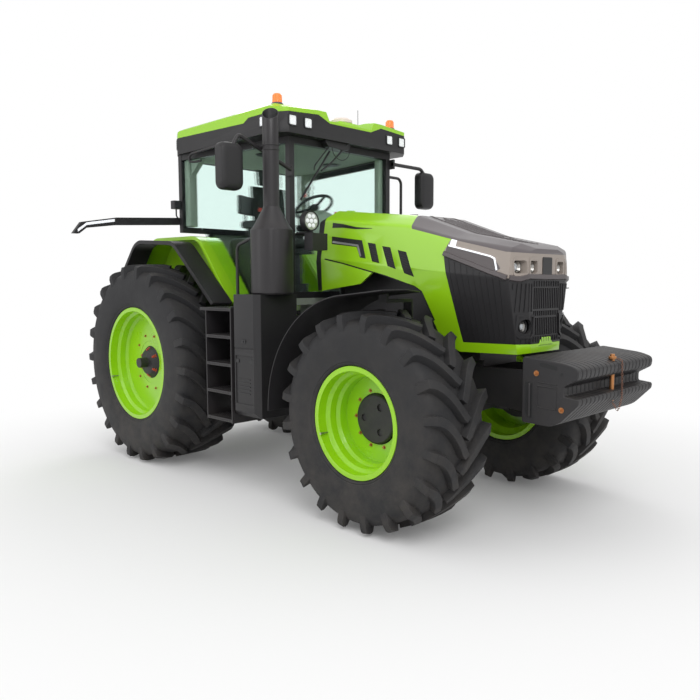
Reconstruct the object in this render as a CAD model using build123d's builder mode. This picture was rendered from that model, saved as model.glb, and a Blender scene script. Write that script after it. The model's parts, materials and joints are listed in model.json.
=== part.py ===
"""Row-crop farm tractor with front weights, a four-post cab and a rear three-point linkage.

Axes: X forward, Y to the tractor's left, Z up. The origin is on the ground under the middle of the
whole outline. All sizes are in millimetres.
"""
from build123d import *
import math
import os

os.makedirs("parts", exist_ok=True)

# ---------------------------------------------------------------- driving dimensions
WHEELBASE = 3050
NOSE_OVERHANG = 1375          # front axle to the nose of the weights
LINK_OVERHANG = 1300          # rear axle to the ends of the lower links
LENGTH = NOSE_OVERHANG + WHEELBASE + LINK_OVERHANG
FRONT_X = LENGTH / 2 - NOSE_OVERHANG
REAR_X = FRONT_X - WHEELBASE

PIN_FIT = 0.5                 # radial clearance of a running pin or shaft
FACE_GAP = 0.3                # gap between faces that slide over each other
RUN_GAP = 6                   # gap between a turning piece and a fixed one
WHEEL_ROOM = 110              # room between the rear tyre and what stands in front of it
GUARD_GAP = 112               # front tyre to the outer face of its mudguard

# wheels: 600/70 R30 in front, 710/70 R42 behind
FRONT_TYRE_R = 795
FRONT_TYRE_W = 600
FRONT_WHEEL_Y = 930           # middle of the tyre from the middle of the tractor
FRONT_BEAD_R = 381
FRONT_RIM_W = 540
REAR_TYRE_R = 990
REAR_TYRE_W = 716
REAR_WHEEL_Y = 921
REAR_BEAD_R = 533
REAR_RIM_W = 636
FLANGE_H = 25.5               # height of a rim flange over its bead seat
RIM_WALL = 12
BEAD_FIT = 0.3                # tyre to rim

# steering
KINGPIN_Y = 740
KINGPIN_R = 32
STEER_ARM = 230               # kingpin to tie-rod stud

# cab
CAB_FRONT = FRONT_X - 1350
CAB_REAR = FRONT_X - 2790
FLOOR_Z = 1650
ROOF_Z = 3050                 # underside of the roof fascia
A_POST_Y = 620
C_POST_Y = 800
POST = 56
SILL_Z = 2290                 # lower edge of the rear window
BODY_Y = 505                  # half width of the cab's lower rear body
GLASS = 8

# rear linkage
LINK_PIVOT = (REAR_X - 320, 640)
LIFT_PIVOT_Z = 1245
LIFT_SHAFT_R = 38

# hood
HOOD_WALL = 24
HOOD_PIVOT_X = FRONT_X - 1100
HOOD_PIVOT_Z = 2355


def save(part, name):
    """Label a finished piece and write its file."""
    part.label = name
    export_step(part, f"parts/{name}.step")


def block(x, y, z, mode=Mode.ADD):
    """Rectangular block between pairs of limits."""
    with Locations(((x[0] + x[1]) / 2, (y[0] + y[1]) / 2, (z[0] + z[1]) / 2)):
        Box(x[1] - x[0], y[1] - y[0], z[1] - z[0], mode=mode)


def side_plate(points, y, mode=Mode.ADD):
    """Outline of (x, z) points, extruded between two y limits."""
    with BuildSketch(Plane.XZ.offset(-y[1])) as outline:
        with BuildLine():
            Polyline(*points, close=True)
        make_face()
    extrude(outline.sketch, amount=y[1] - y[0], mode=mode)


def plan_plate(points, z, mode=Mode.ADD):
    """Outline of (x, y) points, extruded between two z limits."""
    with BuildSketch(Plane.XY.offset(z[0])) as outline:
        with BuildLine():
            Polyline(*points, close=True)
        make_face()
    extrude(outline.sketch, amount=z[1] - z[0], mode=mode)


def cross_plate(points, x, mode=Mode.ADD):
    """Outline of (y, z) points, extruded between two x limits."""
    with BuildSketch(Plane.YZ.offset(x[0])) as outline:
        with BuildLine():
            Polyline(*points, close=True)
        make_face()
    extrude(outline.sketch, amount=x[1] - x[0], mode=mode)


def rod(start, end, radius, mode=Mode.ADD):
    """Round bar between two points."""
    run = Vector(*end) - Vector(*start)
    with BuildSketch(Plane(origin=start, z_dir=run.normalized())) as section:
        Circle(radius)
    extrude(section.sketch, amount=run.length, mode=mode)


def tube(points, radius, bend):
    """Bent round tube along a filleted path."""
    with BuildLine():
        path = FilletPolyline(*points, radius=bend)
    with BuildSketch(Plane(origin=path @ 0, z_dir=path % 0)) as section:
        Circle(radius)
    sweep(section.sketch, path=path)


def spin(points, x, z, mode=Mode.ADD):
    """Closed outline of (y, radius) points, turned about the Y axis line through x, z."""
    with BuildSketch(Plane.YZ.offset(x)) as outline:
        with BuildLine():
            Polyline(*[(y, z + r) for y, r in points], close=True)
        make_face()
    revolve(outline.sketch, axis=Axis((x, 0, z), (0, 1, 0)), mode=mode)


def frustum_stack(rings, sides, mode=Mode.ADD):
    """Stack of regular prisms and frustums about the Z axis through rings of (z, corner radius)."""
    faces = []
    for z, r in rings:
        with BuildSketch(Plane.XY.offset(z)) as ring:
            RegularPolygon(r, sides)
        faces.append(ring.sketch)
    loft(faces, ruled=True, mode=mode)


SIDES = (("left", 1), ("right", -1))

# ---------------------------------------------------------------- wheels
# columns: name, x, radius, width, centre y, bead radius, rim width, disc y, hub cover radius,
# lugs in a row, width of a lug's top, turn of the lugs against the carcass
WHEELS = (
    ("front", FRONT_X, FRONT_TYRE_R, FRONT_TYRE_W, FRONT_WHEEL_Y, FRONT_BEAD_R, FRONT_RIM_W, 940, 183,
     20, 56, 3),
    ("rear", REAR_X, REAR_TYRE_R, REAR_TYRE_W, REAR_WHEEL_Y, REAR_BEAD_R, REAR_RIM_W, 1046, 210,
     22, 62, 6),
)
DISC_T = 15                    # wheel disc
HUB_FLANGE = 240               # radius of the hub's mounting flange
LUG_H = 48                     # height of a lug over the carcass
LUG_ROOT = 60                  # depth that a lug runs into the carcass
LUG_FLARE = 8                  # slope of a lug's flanks in degrees
LUG_OVERLAP = 18               # reach of a lug past the tread's middle
LUG_SETBACK = 20               # shoulder end of a lug from the side wall
SHOULDER = 50                  # width of the carcass's shoulder
BEAD_LIP = 8                   # side wall over the rim's flange

for axle, x, tyre_r, tyre_w, mid, bead_r, rim_w, disc_y, hub_r, lugs, lug_top, turn in WHEELS:
    pitch = 360 / lugs
    half = tyre_w / 2
    # tyre about the local Z axis: it stands on two lug tips, so the tips lie a little outside its radius
    tip_r = tyre_r / math.cos(math.radians(pitch / 4))
    # each lug leads by one pitch from the trailing corner of its shoulder end to the middle's leading corner
    reach = tip_r * math.sin(math.radians(pitch / 2))
    top_r = math.sqrt(tip_r**2 - reach**2)
    lug_plane = Plane.XY.rotated((0, 0, -pitch / 2)) * Plane(origin=(top_r, 0, 0), x_dir=(0, 1, 0), z_dir=(1, 0, 0))
    with BuildPart() as lug:
        with BuildSketch(lug_plane) as lug_face:
            with BuildLine():
                Polyline((reach - lug_top, -LUG_OVERLAP), (reach, -LUG_OVERLAP), (lug_top - reach, half - LUG_SETBACK),
                         (-reach, half - LUG_SETBACK), close=True)
            make_face()
        extrude(lug_face.sketch, amount=-(LUG_H + LUG_ROOT), taper=-LUG_FLARE)
    with BuildPart() as far_lug:
        mirror(lug.part, about=Plane.XY)
    tread_r = tyre_r - LUG_H
    wall_r = (bead_r + tyre_r) / 2
    seat = rim_w / 2 - RIM_WALL - BEAD_FIT
    lip_r = bead_r + FLANGE_H + BEAD_LIP
    past = half + 5
    past_r = lip_r + (wall_r - lip_r) * (past - seat) / (half - seat)
    bore_r = (bead_r + BEAD_FIT) / math.cos(math.radians(pitch / 2))
    with BuildPart() as tyre_form:
        frustum_stack([(-half, wall_r), (SHOULDER - half, tread_r - 8), (half - SHOULDER, tread_r - 8), (half, wall_r)],
                      lugs)
        for end in (-1, 1):
            frustum_stack([(end * seat, lip_r), (end * past, past_r)], lugs, mode=Mode.SUBTRACT)
        frustum_stack([(-past, bore_r), (past, bore_r)], lugs, mode=Mode.SUBTRACT)
        with PolarLocations(0, lugs, start_angle=turn):
            add(lug.part)
        with PolarLocations(0, lugs, start_angle=turn + pitch / 2):
            add(far_lug.part)
    # local direction that points down, halfway between two tips
    down = math.radians(turn + pitch / 4)
    for side, s in SIDES:
        with BuildPart(Plane(origin=(x, s * mid, tyre_r), x_dir=(math.sin(down), 0, -math.cos(down)),
                             z_dir=(0, 1, 0))) as tyre:
            add(tyre_form.part)
        save(tyre.part, f"tyre_{axle}_{side}")

    for side, s in SIDES:
        rim_half = rim_w / 2
        # rim: two flanges, stepped barrel and a dished disc
        step = bead_r - 28
        well = bead_r - 52
        outer = (
            (rim_half, bead_r + FLANGE_H),
            (rim_half - RIM_WALL, bead_r + FLANGE_H),
            (rim_half - RIM_WALL, bead_r),
            (rim_half - 70, bead_r),
            (rim_half - 90, step),
            (rim_half - 150, step),
            (rim_half - 170, well),
            (-rim_half + 110, well),
            (-rim_half + 90, bead_r),
            (-rim_half + RIM_WALL, bead_r),
            (-rim_half + RIM_WALL, bead_r + FLANGE_H),
            (-rim_half, bead_r + FLANGE_H),
            (-rim_half, bead_r - RIM_WALL),
            (-rim_half + 84, bead_r - RIM_WALL),
            (-rim_half + 104, well - RIM_WALL),
            (rim_half - 176, well - RIM_WALL),
            (rim_half - 156, step - RIM_WALL),
            (rim_half - 96, step - RIM_WALL),
            (rim_half - 76, bead_r - RIM_WALL),
            (rim_half, bead_r - RIM_WALL),
        )
        with BuildPart() as rim:
            spin([(s * (mid + y), r) for y, r in outer], x, tyre_r)
            spin([(s * disc_y, hub_r + 6), (s * (disc_y + DISC_T), hub_r + 6),
                  (s * (disc_y + DISC_T), well - 6), (s * disc_y, well - 6)], x, tyre_r)
        save(rim.part, f"rim_{axle}_{side}")

# front hubs: planetary hub on the knuckle's spindle
SPINDLE_R = 60
SPINDLE_END = 925
KNUCKLE_WALL = (826, 850)      # |y| of the knuckle's outer wall
HUB_COVER_Y = 985
for side, s in SIDES:
    disc_y, hub_r = WHEELS[0][7], WHEELS[0][8]
    bore = SPINDLE_R + PIN_FIT
    with BuildPart() as hub:
        spin([(s * (KNUCKLE_WALL[1] + RUN_GAP), bore), (s * (KNUCKLE_WALL[1] + RUN_GAP), 170),
              (s * (disc_y - 18), 185), (s * (disc_y - 18), HUB_FLANGE), (s * disc_y, HUB_FLANGE),
              (s * disc_y, hub_r), (s * (HUB_COVER_Y - 10), hub_r), (s * HUB_COVER_Y, hub_r - 12), (s * HUB_COVER_Y, 0.0),
              (s * (SPINDLE_END + 2), 0.0), (s * (SPINDLE_END + 2), bore)], FRONT_X, FRONT_TYRE_R)
        # three blind holes of the hub's cover
        with Locations(Plane(origin=(FRONT_X, s * HUB_COVER_Y, FRONT_TYRE_R), z_dir=(0, s, 0))):
            with PolarLocations(105, 3, start_angle=30):
                Cylinder(26, 28, mode=Mode.SUBTRACT)
    save(hub.part, f"hub_front_{side}")

# rear hubs: clamped on a bar axle that runs out past the disc
BAR_R = 50
BAR_END = 1196
TRUMPET_END = 560
TRUMPET_R = 120
BAR_ROOT = TRUMPET_END - 60
for side, s in SIDES:
    disc_y = WHEELS[1][7]
    with BuildPart() as hub:
        spin([(s * BAR_ROOT, 0.0), (s * BAR_ROOT, BAR_R), (s * 930, BAR_R), (s * 940, 120),
              (s * (disc_y - 20), 165), (s * (disc_y - 20), HUB_FLANGE + 60), (s * disc_y, HUB_FLANGE + 60),
              (s * disc_y, 175), (s * 1105, 120), (s * 1110, BAR_R), (s * BAR_END, BAR_R),
              (s * BAR_END, 0.0)], REAR_X, REAR_TYRE_R)
    save(hub.part, f"hub_rear_{side}")

# ---------------------------------------------------------------- front axle and steering
AXLE_Z = FRONT_TYRE_R
EYE_R = 72
EYE_H = 105                    # half height of the kingpin eye
PIVOT_Z = AXLE_Z + 205         # pin on which the front axle hangs
PIVOT_R = 42
with BuildPart() as front_axle:
    for side, s in SIDES:
        with Locations((FRONT_X, s * KINGPIN_Y, AXLE_Z)):
            Cylinder(EYE_R, 2 * EYE_H)
        cross_plate([(0, AXLE_Z - 110), (s * 300, AXLE_Z - 85), (s * (KINGPIN_Y - 40), AXLE_Z - 70),
                     (s * (KINGPIN_Y - 40), AXLE_Z + 70), (s * 300, AXLE_Z + 85), (0, AXLE_Z + 110)],
                    (FRONT_X - 80, FRONT_X + 80))
    with Locations((FRONT_X, 0, AXLE_Z)):
        Cylinder(150, 250, rotation=(0, 90, 0))
    for side, s in SIDES:
        with Locations((FRONT_X, s * KINGPIN_Y, AXLE_Z)):
            Cylinder(KINGPIN_R + PIN_FIT, 2 * EYE_H + 2, mode=Mode.SUBTRACT)
    # lugs that hang the beam on the frame's pivot pin
    for x0, x1 in ((FRONT_X - 142, FRONT_X - 116), (FRONT_X + 116, FRONT_X + 142)):
        cross_plate([(-110, AXLE_Z + 90), (110, AXLE_Z + 90), (62, PIVOT_Z + 62), (-62, PIVOT_Z + 62)], (x0, x1))
    rod((FRONT_X - 150, 0, PIVOT_Z), (FRONT_X + 150, 0, PIVOT_Z), PIVOT_R + PIN_FIT, mode=Mode.SUBTRACT)
save(front_axle.part, "front_axle")

KNUCKLE_PLATE = 30
MUDGUARD_T = 8
GUARD_R = FRONT_TYRE_R + GUARD_GAP      # outer face of the mudguard
GUARD_START = 181              # rear end of its arc, in degrees from forward
GUARD_END = 95                 # front end of its arc
GUARD_LIP = (440, 45)          # front end of its straight lip: x from the axle, height over the arc's radius
MUDGUARD_Y = (650, 1250)


def on_arc(r, angle):
    """Point (x, z) at an angle in degrees from forward, on a circle about the origin."""
    return r * math.cos(math.radians(angle)), r * math.sin(math.radians(angle))


def guard_underside(dx):
    """Height of the mudguard's inner face over the front axle at dx, along its straight lip."""
    x0, z0 = on_arc(GUARD_R, GUARD_END)
    slope = (GUARD_R + GUARD_LIP[1] - z0) / (GUARD_LIP[0] - x0)
    return AXLE_Z + z0 + slope * (dx - x0) - MUDGUARD_T


for side, s in SIDES:
    lower_z = AXLE_Z - EYE_H - FACE_GAP
    upper_z = AXLE_Z + EYE_H + FACE_GAP
    y_in, y_out = sorted((s * (KINGPIN_Y - EYE_R), s * KNUCKLE_WALL[1]))
    wall = sorted(s * v for v in KNUCKLE_WALL)
    with BuildPart() as knuckle:
        for z0, z1 in ((lower_z - KNUCKLE_PLATE, lower_z), (upper_z, upper_z + KNUCKLE_PLATE)):
            block((FRONT_X - 75, FRONT_X + 75), (y_in, y_out), (z0, z1))
        block((FRONT_X - 100, FRONT_X + 100), wall, (lower_z - KNUCKLE_PLATE, upper_z + KNUCKLE_PLATE))
        with Locations((FRONT_X, s * KINGPIN_Y, AXLE_Z)):
            Cylinder(KINGPIN_R, 2 * EYE_H + 2)
        rod((FRONT_X, s * KNUCKLE_WALL[1] - s, AXLE_Z), (FRONT_X, s * SPINDLE_END, AXLE_Z), SPINDLE_R)
        # steering arm under the axle's eye, back to the tie-rod stud
        block((FRONT_X - STEER_ARM - 45, FRONT_X - 70), sorted((s * (KINGPIN_Y - 45), s * (KINGPIN_Y + 45))),
              (lower_z - KNUCKLE_PLATE, lower_z))
        # post over the tyre's inner side that carries the mudguard
        top = guard_underside(0)
        post = sorted(s * v for v in (610, 622))
        block((FRONT_X - 60, FRONT_X + 60), sorted((s * 610, s * (KINGPIN_Y - EYE_R + 5))),
              (upper_z, upper_z + KNUCKLE_PLATE))
        side_plate([(FRONT_X - 60, upper_z), (FRONT_X + 60, upper_z), (FRONT_X + 40, top - 60),
                    (FRONT_X - 40, top - 60)], post)
        block((FRONT_X - 40, FRONT_X + 40), sorted((s * 610, s * 900)), (top - 60, top - 36))
        side_plate([(FRONT_X - 40, top - 60), (FRONT_X + 40, top - 60),
                    (FRONT_X + 40, guard_underside(40) - FACE_GAP), (FRONT_X - 40, guard_underside(-40) - FACE_GAP)],
                   sorted((s * 880, s * 900)))
    save(knuckle.part, f"knuckle_{side}")

    with BuildPart() as guard:
        y_in, y_out = sorted(s * v for v in MUDGUARD_Y)
        tip = (FRONT_X + GUARD_LIP[0], AXLE_Z + GUARD_R + GUARD_LIP[1])
        with BuildSketch(Plane.XZ.offset(-y_out)) as strip:
            with BuildLine():
                outer = CenterArc((FRONT_X, AXLE_Z), GUARD_R, GUARD_START, GUARD_END - GUARD_START)
                inner = CenterArc((FRONT_X, AXLE_Z), GUARD_R - MUDGUARD_T, GUARD_START, GUARD_END - GUARD_START)
                Line(outer @ 0, inner @ 0)
                Polyline(outer @ 1, tip, (tip[0], tip[1] - MUDGUARD_T), inner @ 1)
            make_face()
        extrude(strip.sketch, amount=y_out - y_in)
    save(guard.part, f"mudguard_{side}")

with BuildPart() as tie_rod:
    stud_z = AXLE_Z - EYE_H
    rod((FRONT_X - STEER_ARM, -KINGPIN_Y, stud_z + 26), (FRONT_X - STEER_ARM, KINGPIN_Y, stud_z + 26), 19)
    for side, s in SIDES:
        with Locations((FRONT_X - STEER_ARM, s * KINGPIN_Y, stud_z + 26)):
            Cylinder(34, 52)
save(tie_rod.part, "tie_rod")

# ---------------------------------------------------------------- front frame, engine and transmission
FRAME_Y = (190, 225)
FRAME_Z = (930, 1150)
GEARBOX_Y = FRAME_Y[0] - FACE_GAP
GEARBOX_TOP = 1450
ENGINE_HALF = 240
with BuildPart() as front_frame:
    for side, s in SIDES:
        side_plate([(FRONT_X - 1300, FRAME_Z[0] - 60), (FRONT_X - 300, FRAME_Z[0] + 10),
                    (FRONT_X + 860, FRAME_Z[0] - 90), (FRONT_X + 860, FRAME_Z[1]), (FRONT_X - 1300, FRAME_Z[1])],
                   sorted(s * v for v in FRAME_Y))
    block((FRONT_X + 860, FRONT_X + 935), (-380, 380), (FRAME_Z[0] - 90, FRAME_Z[1] + 20))
    block((FRONT_X - 110, FRONT_X + 110), (-190, 190), (AXLE_Z + 160, FRAME_Z[1]))
    rod((FRONT_X - 180, 0, PIVOT_Z), (FRONT_X + 180, 0, PIVOT_Z), PIVOT_R)
save(front_frame.part, "front_frame")

with BuildPart() as engine:
    side_plate([(FRONT_X - 1060, 1200), (FRONT_X + 120, 1200), (FRONT_X + 120, 1880), (FRONT_X - 300, 2020),
                (FRONT_X - 1060, 2120)], (-ENGINE_HALF, ENGINE_HALF))
    for x0 in (FRONT_X - 950, FRONT_X - 100):
        for side, s in SIDES:
            block((x0, x0 + 90), sorted(s * v for v in FRAME_Y), (FRAME_Z[1] + FACE_GAP, 1201))
save(engine.part, "engine")

with BuildPart() as radiator:
    block((FRONT_X + 200, FRONT_X + 420), (-280, 280), (1200, 1900))
    block((FRONT_X + 200, FRONT_X + 420), (-FRAME_Y[1], FRAME_Y[1]), (FRAME_Z[1] + FACE_GAP, 1201))
save(radiator.part, "radiator")

with BuildPart() as transmission:
    side_plate([(FRONT_X - 1150, 800), (REAR_X + 350, 700), (REAR_X - 420, 620), (REAR_X - 420, 1170),
                (REAR_X - 210, 1170), (REAR_X - 170, 1330), (REAR_X + 100, GEARBOX_TOP),
                (FRONT_X - 1330, GEARBOX_TOP), (FRONT_X - 1300, GEARBOX_TOP - 50), (FRONT_X - 1150, GEARBOX_TOP - 50)],
               (-GEARBOX_Y, GEARBOX_Y))
    # bearings of the lift shaft
    for side, s in SIDES:
        block((LINK_PIVOT[0] - 60, LINK_PIVOT[0] + 60), sorted((s * 110, s * 150)), (1160, LIFT_PIVOT_Z + 70))
    rod((LINK_PIVOT[0], -160, LIFT_PIVOT_Z), (LINK_PIVOT[0], 160, LIFT_PIVOT_Z), LIFT_SHAFT_R + PIN_FIT,
        mode=Mode.SUBTRACT)
    for side, s in SIDES:
        spin([(0, 0.0), (0, 230), (s * 240, 210), (s * 300, TRUMPET_R), (s * (TRUMPET_END - 40), TRUMPET_R),
              (s * (TRUMPET_END - 40), 160), (s * TRUMPET_END, 160), (s * TRUMPET_END, BAR_R + PIN_FIT),
              (s * (BAR_ROOT - 2), BAR_R + PIN_FIT), (s * (BAR_ROOT - 2), 0.0)], REAR_X, REAR_TYRE_R)
save(transmission.part, "transmission")

# ---------------------------------------------------------------- front weights
PLATE_COUNT = 20
TOW_PIN_X = LENGTH / 2 - 62
TOW_PIN_R = 16
PLATE_PITCH = 57
PLATE_T = 53
WEIGHT_BACK = FRONT_X + 957
WEIGHT_TOP = 1295
NOSE_X = LENGTH / 2
# side outline, with an open mouth at the nose
WEIGHT_OUTLINE = (
    (WEIGHT_BACK, 850), (FRONT_X + 1164, 840), (FRONT_X + 1230, 870), (NOSE_X, 1010), (NOSE_X, 1040),
    (FRONT_X + 1262, 1052), (FRONT_X + 1262, 1112), (NOSE_X - 12, 1170), (NOSE_X - 6, 1225),
    (NOSE_X - 110, 1262), (WEIGHT_BACK, WEIGHT_TOP),
)
with BuildPart() as front_weights:
    block((FRONT_X + 935 + FACE_GAP, FRONT_X + 975), (-520, 520), (950, 1150))
    for i in range(PLATE_COUNT):
        y0 = (i - PLATE_COUNT / 2) * PLATE_PITCH + (PLATE_PITCH - PLATE_T) / 2
        side_plate(WEIGHT_OUTLINE, (y0, y0 + PLATE_T))
    rod((TOW_PIN_X, 0, 800), (TOW_PIN_X, 0, 1400), TOW_PIN_R + PIN_FIT, mode=Mode.SUBTRACT)
save(front_weights.part, "front_weights")

# ---------------------------------------------------------------- hood
# sections: x from the front axle, then half width and height of the bottom, waist, shoulder and crown
HOOD_SECTIONS = (
    (-1300, (420, 1718), (470, 2012), (455, 2362), (300, 2440)),
    (-150, (420, 1450), (470, 1900), (452, 2222), (300, 2310)),
    (300, (365, 1265), (460, 1850), (440, 2100), (280, 2150)),
    (740, (285, 1265), (415, 1810), (385, 2020), (250, 2055)),
    (800, (200, 1275), (270, 1805), (240, 1995), (150, 2020)),
)
HOOD_ROUND = (0, 60, 45, 70)   # radius along the bottom, waist, shoulder and crown edges


def hood_form(inset, drop=0):
    """Solid inside the hood's skin, inset by a wall, its bottom lowered by drop."""
    last = len(HOOD_SECTIONS) - 1
    rings = []
    for i, (dx, *ring) in enumerate(HOOD_SECTIONS):
        x = FRONT_X + dx - (inset if i == last else 0)
        (hb, zb), *rest = ring
        half = [(hb - inset, zb - drop)] + [(h - inset, z - inset) for h, z in rest]
        with BuildSketch(Plane.YZ.offset(x)) as ring_face:
            with BuildLine():
                FilletPolyline(*half, *[(-h, z) for h, z in reversed(half)],
                               radius=HOOD_ROUND + HOOD_ROUND[::-1], close=True)
            make_face()
        rings.append(ring_face.sketch)
    loft(rings, ruled=True)


with BuildPart() as hood_shell:
    hood_form(0)
with BuildPart() as hood_core:
    hood_form(HOOD_WALL, 40)


def hood_piece(name, outline):
    """The part of the hood's shell inside an outline of (x from the axle, z)."""
    with BuildPart() as piece:
        add(hood_shell.part)
        add(hood_core.part, mode=Mode.SUBTRACT)
        side_plate([(FRONT_X + dx, z) for dx, z in outline], (-700, 700), mode=Mode.INTERSECT)
    save(piece.part, name)


SEAM = 0.3
RECESS = 6                     # depth of the vents and of the inlay in the hood's sides
with BuildPart() as recess_form:
    hood_form(RECESS)
TOP_SEAM = ((-330, 2600), (-105, 2195), (262, 2100))
NOSE_SEAM = ((200, 2005), (330, 1338))
LIP_Z = 1338
HOOD_SIDE = ((-1040, 2600), *TOP_SEAM, *NOSE_SEAM, (900, LIP_Z), (900, 1200), (330, 1200),
             (120, 1400), (-20, 1710), (-125, 1760), (-510, 1870), (-665, 1775), (-1160, 1715))
# hollows in the sides: the angled inlay, three vents and the seam over the lower panel
HOOD_HOLLOWS = (
    ((-990, 2180), (-631, 2131), (-583, 1980), (-648, 1990), (-690, 2078), (-990, 2116)),
    ((-567, 2110), (-480, 2096), (-429, 1939), (-511, 1955)),
    ((-405, 2075), (-318, 2061), (-254, 1888), (-340, 1914)),
    ((-240, 2038), (-151, 2019), (-73, 1825), (-170, 1856)),
    ((-1074, 1996), (-856, 1954), (-363, 1840), (-76, 1758), (-8, 1718), (95, 1497),
     (82, 1491), (-20, 1706), (-82, 1747), (-365, 1828), (-858, 1942), (-1076, 1984)),
)
LUG_Y = (216, 236)             # hinge lug of the hood
HINGE_PIN_R = 12
with BuildPart() as hood_hollows:
    for outline in HOOD_HOLLOWS:
        side_plate([(FRONT_X + dx, z) for dx, z in outline], (-600, 600))
    add(recess_form.part, mode=Mode.SUBTRACT)
with BuildPart() as hood_panels:
    add(hood_shell.part)
    add(hood_core.part, mode=Mode.SUBTRACT)
    add(hood_hollows.part, mode=Mode.SUBTRACT)
    side_plate([(FRONT_X + dx, z) for dx, z in HOOD_SIDE], (-700, 700), mode=Mode.INTERSECT)
    for side, s in SIDES:
        side_plate([(HOOD_PIVOT_X - 16, HOOD_PIVOT_Z - 15), (HOOD_PIVOT_X + 15, HOOD_PIVOT_Z - 20),
                    (HOOD_PIVOT_X + 150, 2390), (HOOD_PIVOT_X + 150, 2410), (HOOD_PIVOT_X + 70, 2418),
                    (HOOD_PIVOT_X + 40, 2390), (HOOD_PIVOT_X - 16, HOOD_PIVOT_Z + 14)],
                   sorted(s * v for v in LUG_Y))
    rod((HOOD_PIVOT_X, -300, HOOD_PIVOT_Z), (HOOD_PIVOT_X, 300, HOOD_PIVOT_Z), HINGE_PIN_R + PIN_FIT,
        mode=Mode.SUBTRACT)
save(hood_panels.part, "hood_panels")
hood_piece("hood_top", ((TOP_SEAM[0][0] + SEAM, 2600), (TOP_SEAM[1][0] + SEAM, 2195), (262 + SEAM, 2100),
                        (700, 1995), (900, 1975), (900, 2600)))
LAMP_BAND = ((262 + SEAM, 2100 - SEAM), (700, 1995 - SEAM), (900, 1975 - SEAM), (900, 1808), (730, 1808), (200 + 3 * SEAM, 2005))
POD_Y = (185, 318)             # centres of the lamp pods
POD_Z = 1888
POD = 94                       # inner width and height of a pod
POD_WALL = 9
POD_BACK = FRONT_X + 640
with BuildPart() as lamp_band:
    add(hood_shell.part)
    add(hood_core.part, mode=Mode.SUBTRACT)
    for side, s in SIDES:
        for y in POD_Y:
            reach = POD / 2 + POD_WALL
            block((POD_BACK, FRONT_X + 790), sorted((s * (y - reach), s * (y + reach))), (POD_Z - reach, POD_Z + reach))
    side_plate([(FRONT_X + dx, z) for dx, z in LAMP_BAND], (-700, 700), mode=Mode.INTERSECT)
    add(hood_shell.part, mode=Mode.INTERSECT)
    for side, s in SIDES:
        for y in POD_Y:
            block((POD_BACK + POD_WALL, FRONT_X + 900), sorted((s * (y - POD / 2), s * (y + POD / 2))),
                  (POD_Z - POD / 2, POD_Z + POD / 2), mode=Mode.SUBTRACT)
save(lamp_band.part, "lamp_band")
# grille: rows of upright slots in its front wall between the low lamps' pockets
GRILLE = ((200 + SEAM, 2005 - SEAM), (730, 1808 - SEAM), (900, 1808 - SEAM), (900, LIP_Z + SEAM),
          (330 + SEAM, LIP_Z + SEAM))
SLOT_PITCH = 26
SLOT_W = 15
SLOT_COUNT = 14
SLOT_ROWS = ((1590, 1740), (1540, 1575), (1400, 1525))
LOW_LAMP = (250, 1465)         # centre of a low lamp's pocket: |y| and z
LOW_LAMP_R = 52
with BuildPart() as hood_grille:
    add(hood_shell.part)
    add(hood_core.part, mode=Mode.SUBTRACT)
    side_plate([(FRONT_X + dx, z) for dx, z in GRILLE], (-700, 700), mode=Mode.INTERSECT)
    for z0, z1 in SLOT_ROWS:
        for i in range(SLOT_COUNT):
            y = (i - (SLOT_COUNT - 1) / 2) * SLOT_PITCH
            block((FRONT_X + 700, FRONT_X + 900), (y - SLOT_W / 2, y + SLOT_W / 2), (z0, z1), mode=Mode.SUBTRACT)
    for side, s in SIDES:
        rod((FRONT_X + 700, s * LOW_LAMP[0], LOW_LAMP[1]), (FRONT_X + 900, s * LOW_LAMP[0], LOW_LAMP[1]),
            LOW_LAMP_R + FACE_GAP, mode=Mode.SUBTRACT)
save(hood_grille.part, "hood_grille")

# black surround behind the hood, with its fire wall and the hood's hinge ears
COWL_INSET = 34
COWL_GAP = 10
with BuildPart() as cowl_form:
    hood_form(COWL_INSET)
with BuildPart() as cowl_core:
    hood_form(COWL_INSET + HOOD_WALL, 40)
with BuildPart() as fire_wall:
    add(cowl_form.part)
    side_plate([(FRONT_X - 1190, 1740), (FRONT_X - 1205, 1740), (FRONT_X - 1175, 2600), (FRONT_X - 1160, 2600)],
               (-700, 700), mode=Mode.INTERSECT)
with BuildPart() as cowl:
    add(cowl_form.part)
    add(cowl_core.part, mode=Mode.SUBTRACT)
    side_plate([(FRONT_X - 1040 - COWL_GAP, 2600), (FRONT_X - 1160 - COWL_GAP, 1715), (FRONT_X - 1250, 1715),
                (FRONT_X - 1150, 2600)], (-700, 700), mode=Mode.INTERSECT)
    add(fire_wall.part)
    block((FRONT_X - 1212, FRONT_X - 1190), (-160, 160), (GEARBOX_TOP - 50 + FACE_GAP, 1760))
    for side, s in SIDES:
        block((HOOD_PIVOT_X - 40, HOOD_PIVOT_X + 60), sorted((s * (LUG_Y[0] - 6), s * (LUG_Y[1] + 6))),
              (HOOD_PIVOT_Z - 20, HOOD_PIVOT_Z + 100), mode=Mode.SUBTRACT)
        block((HOOD_PIVOT_X - 80, HOOD_PIVOT_X + 22), sorted((s * (LUG_Y[0] - 26), s * (LUG_Y[0] - FACE_GAP))),
              (HOOD_PIVOT_Z - 24, HOOD_PIVOT_Z + 26))
        rod((HOOD_PIVOT_X, s * (LUG_Y[0] - 20), HOOD_PIVOT_Z), (HOOD_PIVOT_X, s * (LUG_Y[1] + 6), HOOD_PIVOT_Z),
            HINGE_PIN_R)
save(cowl.part, "cowl")

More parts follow.
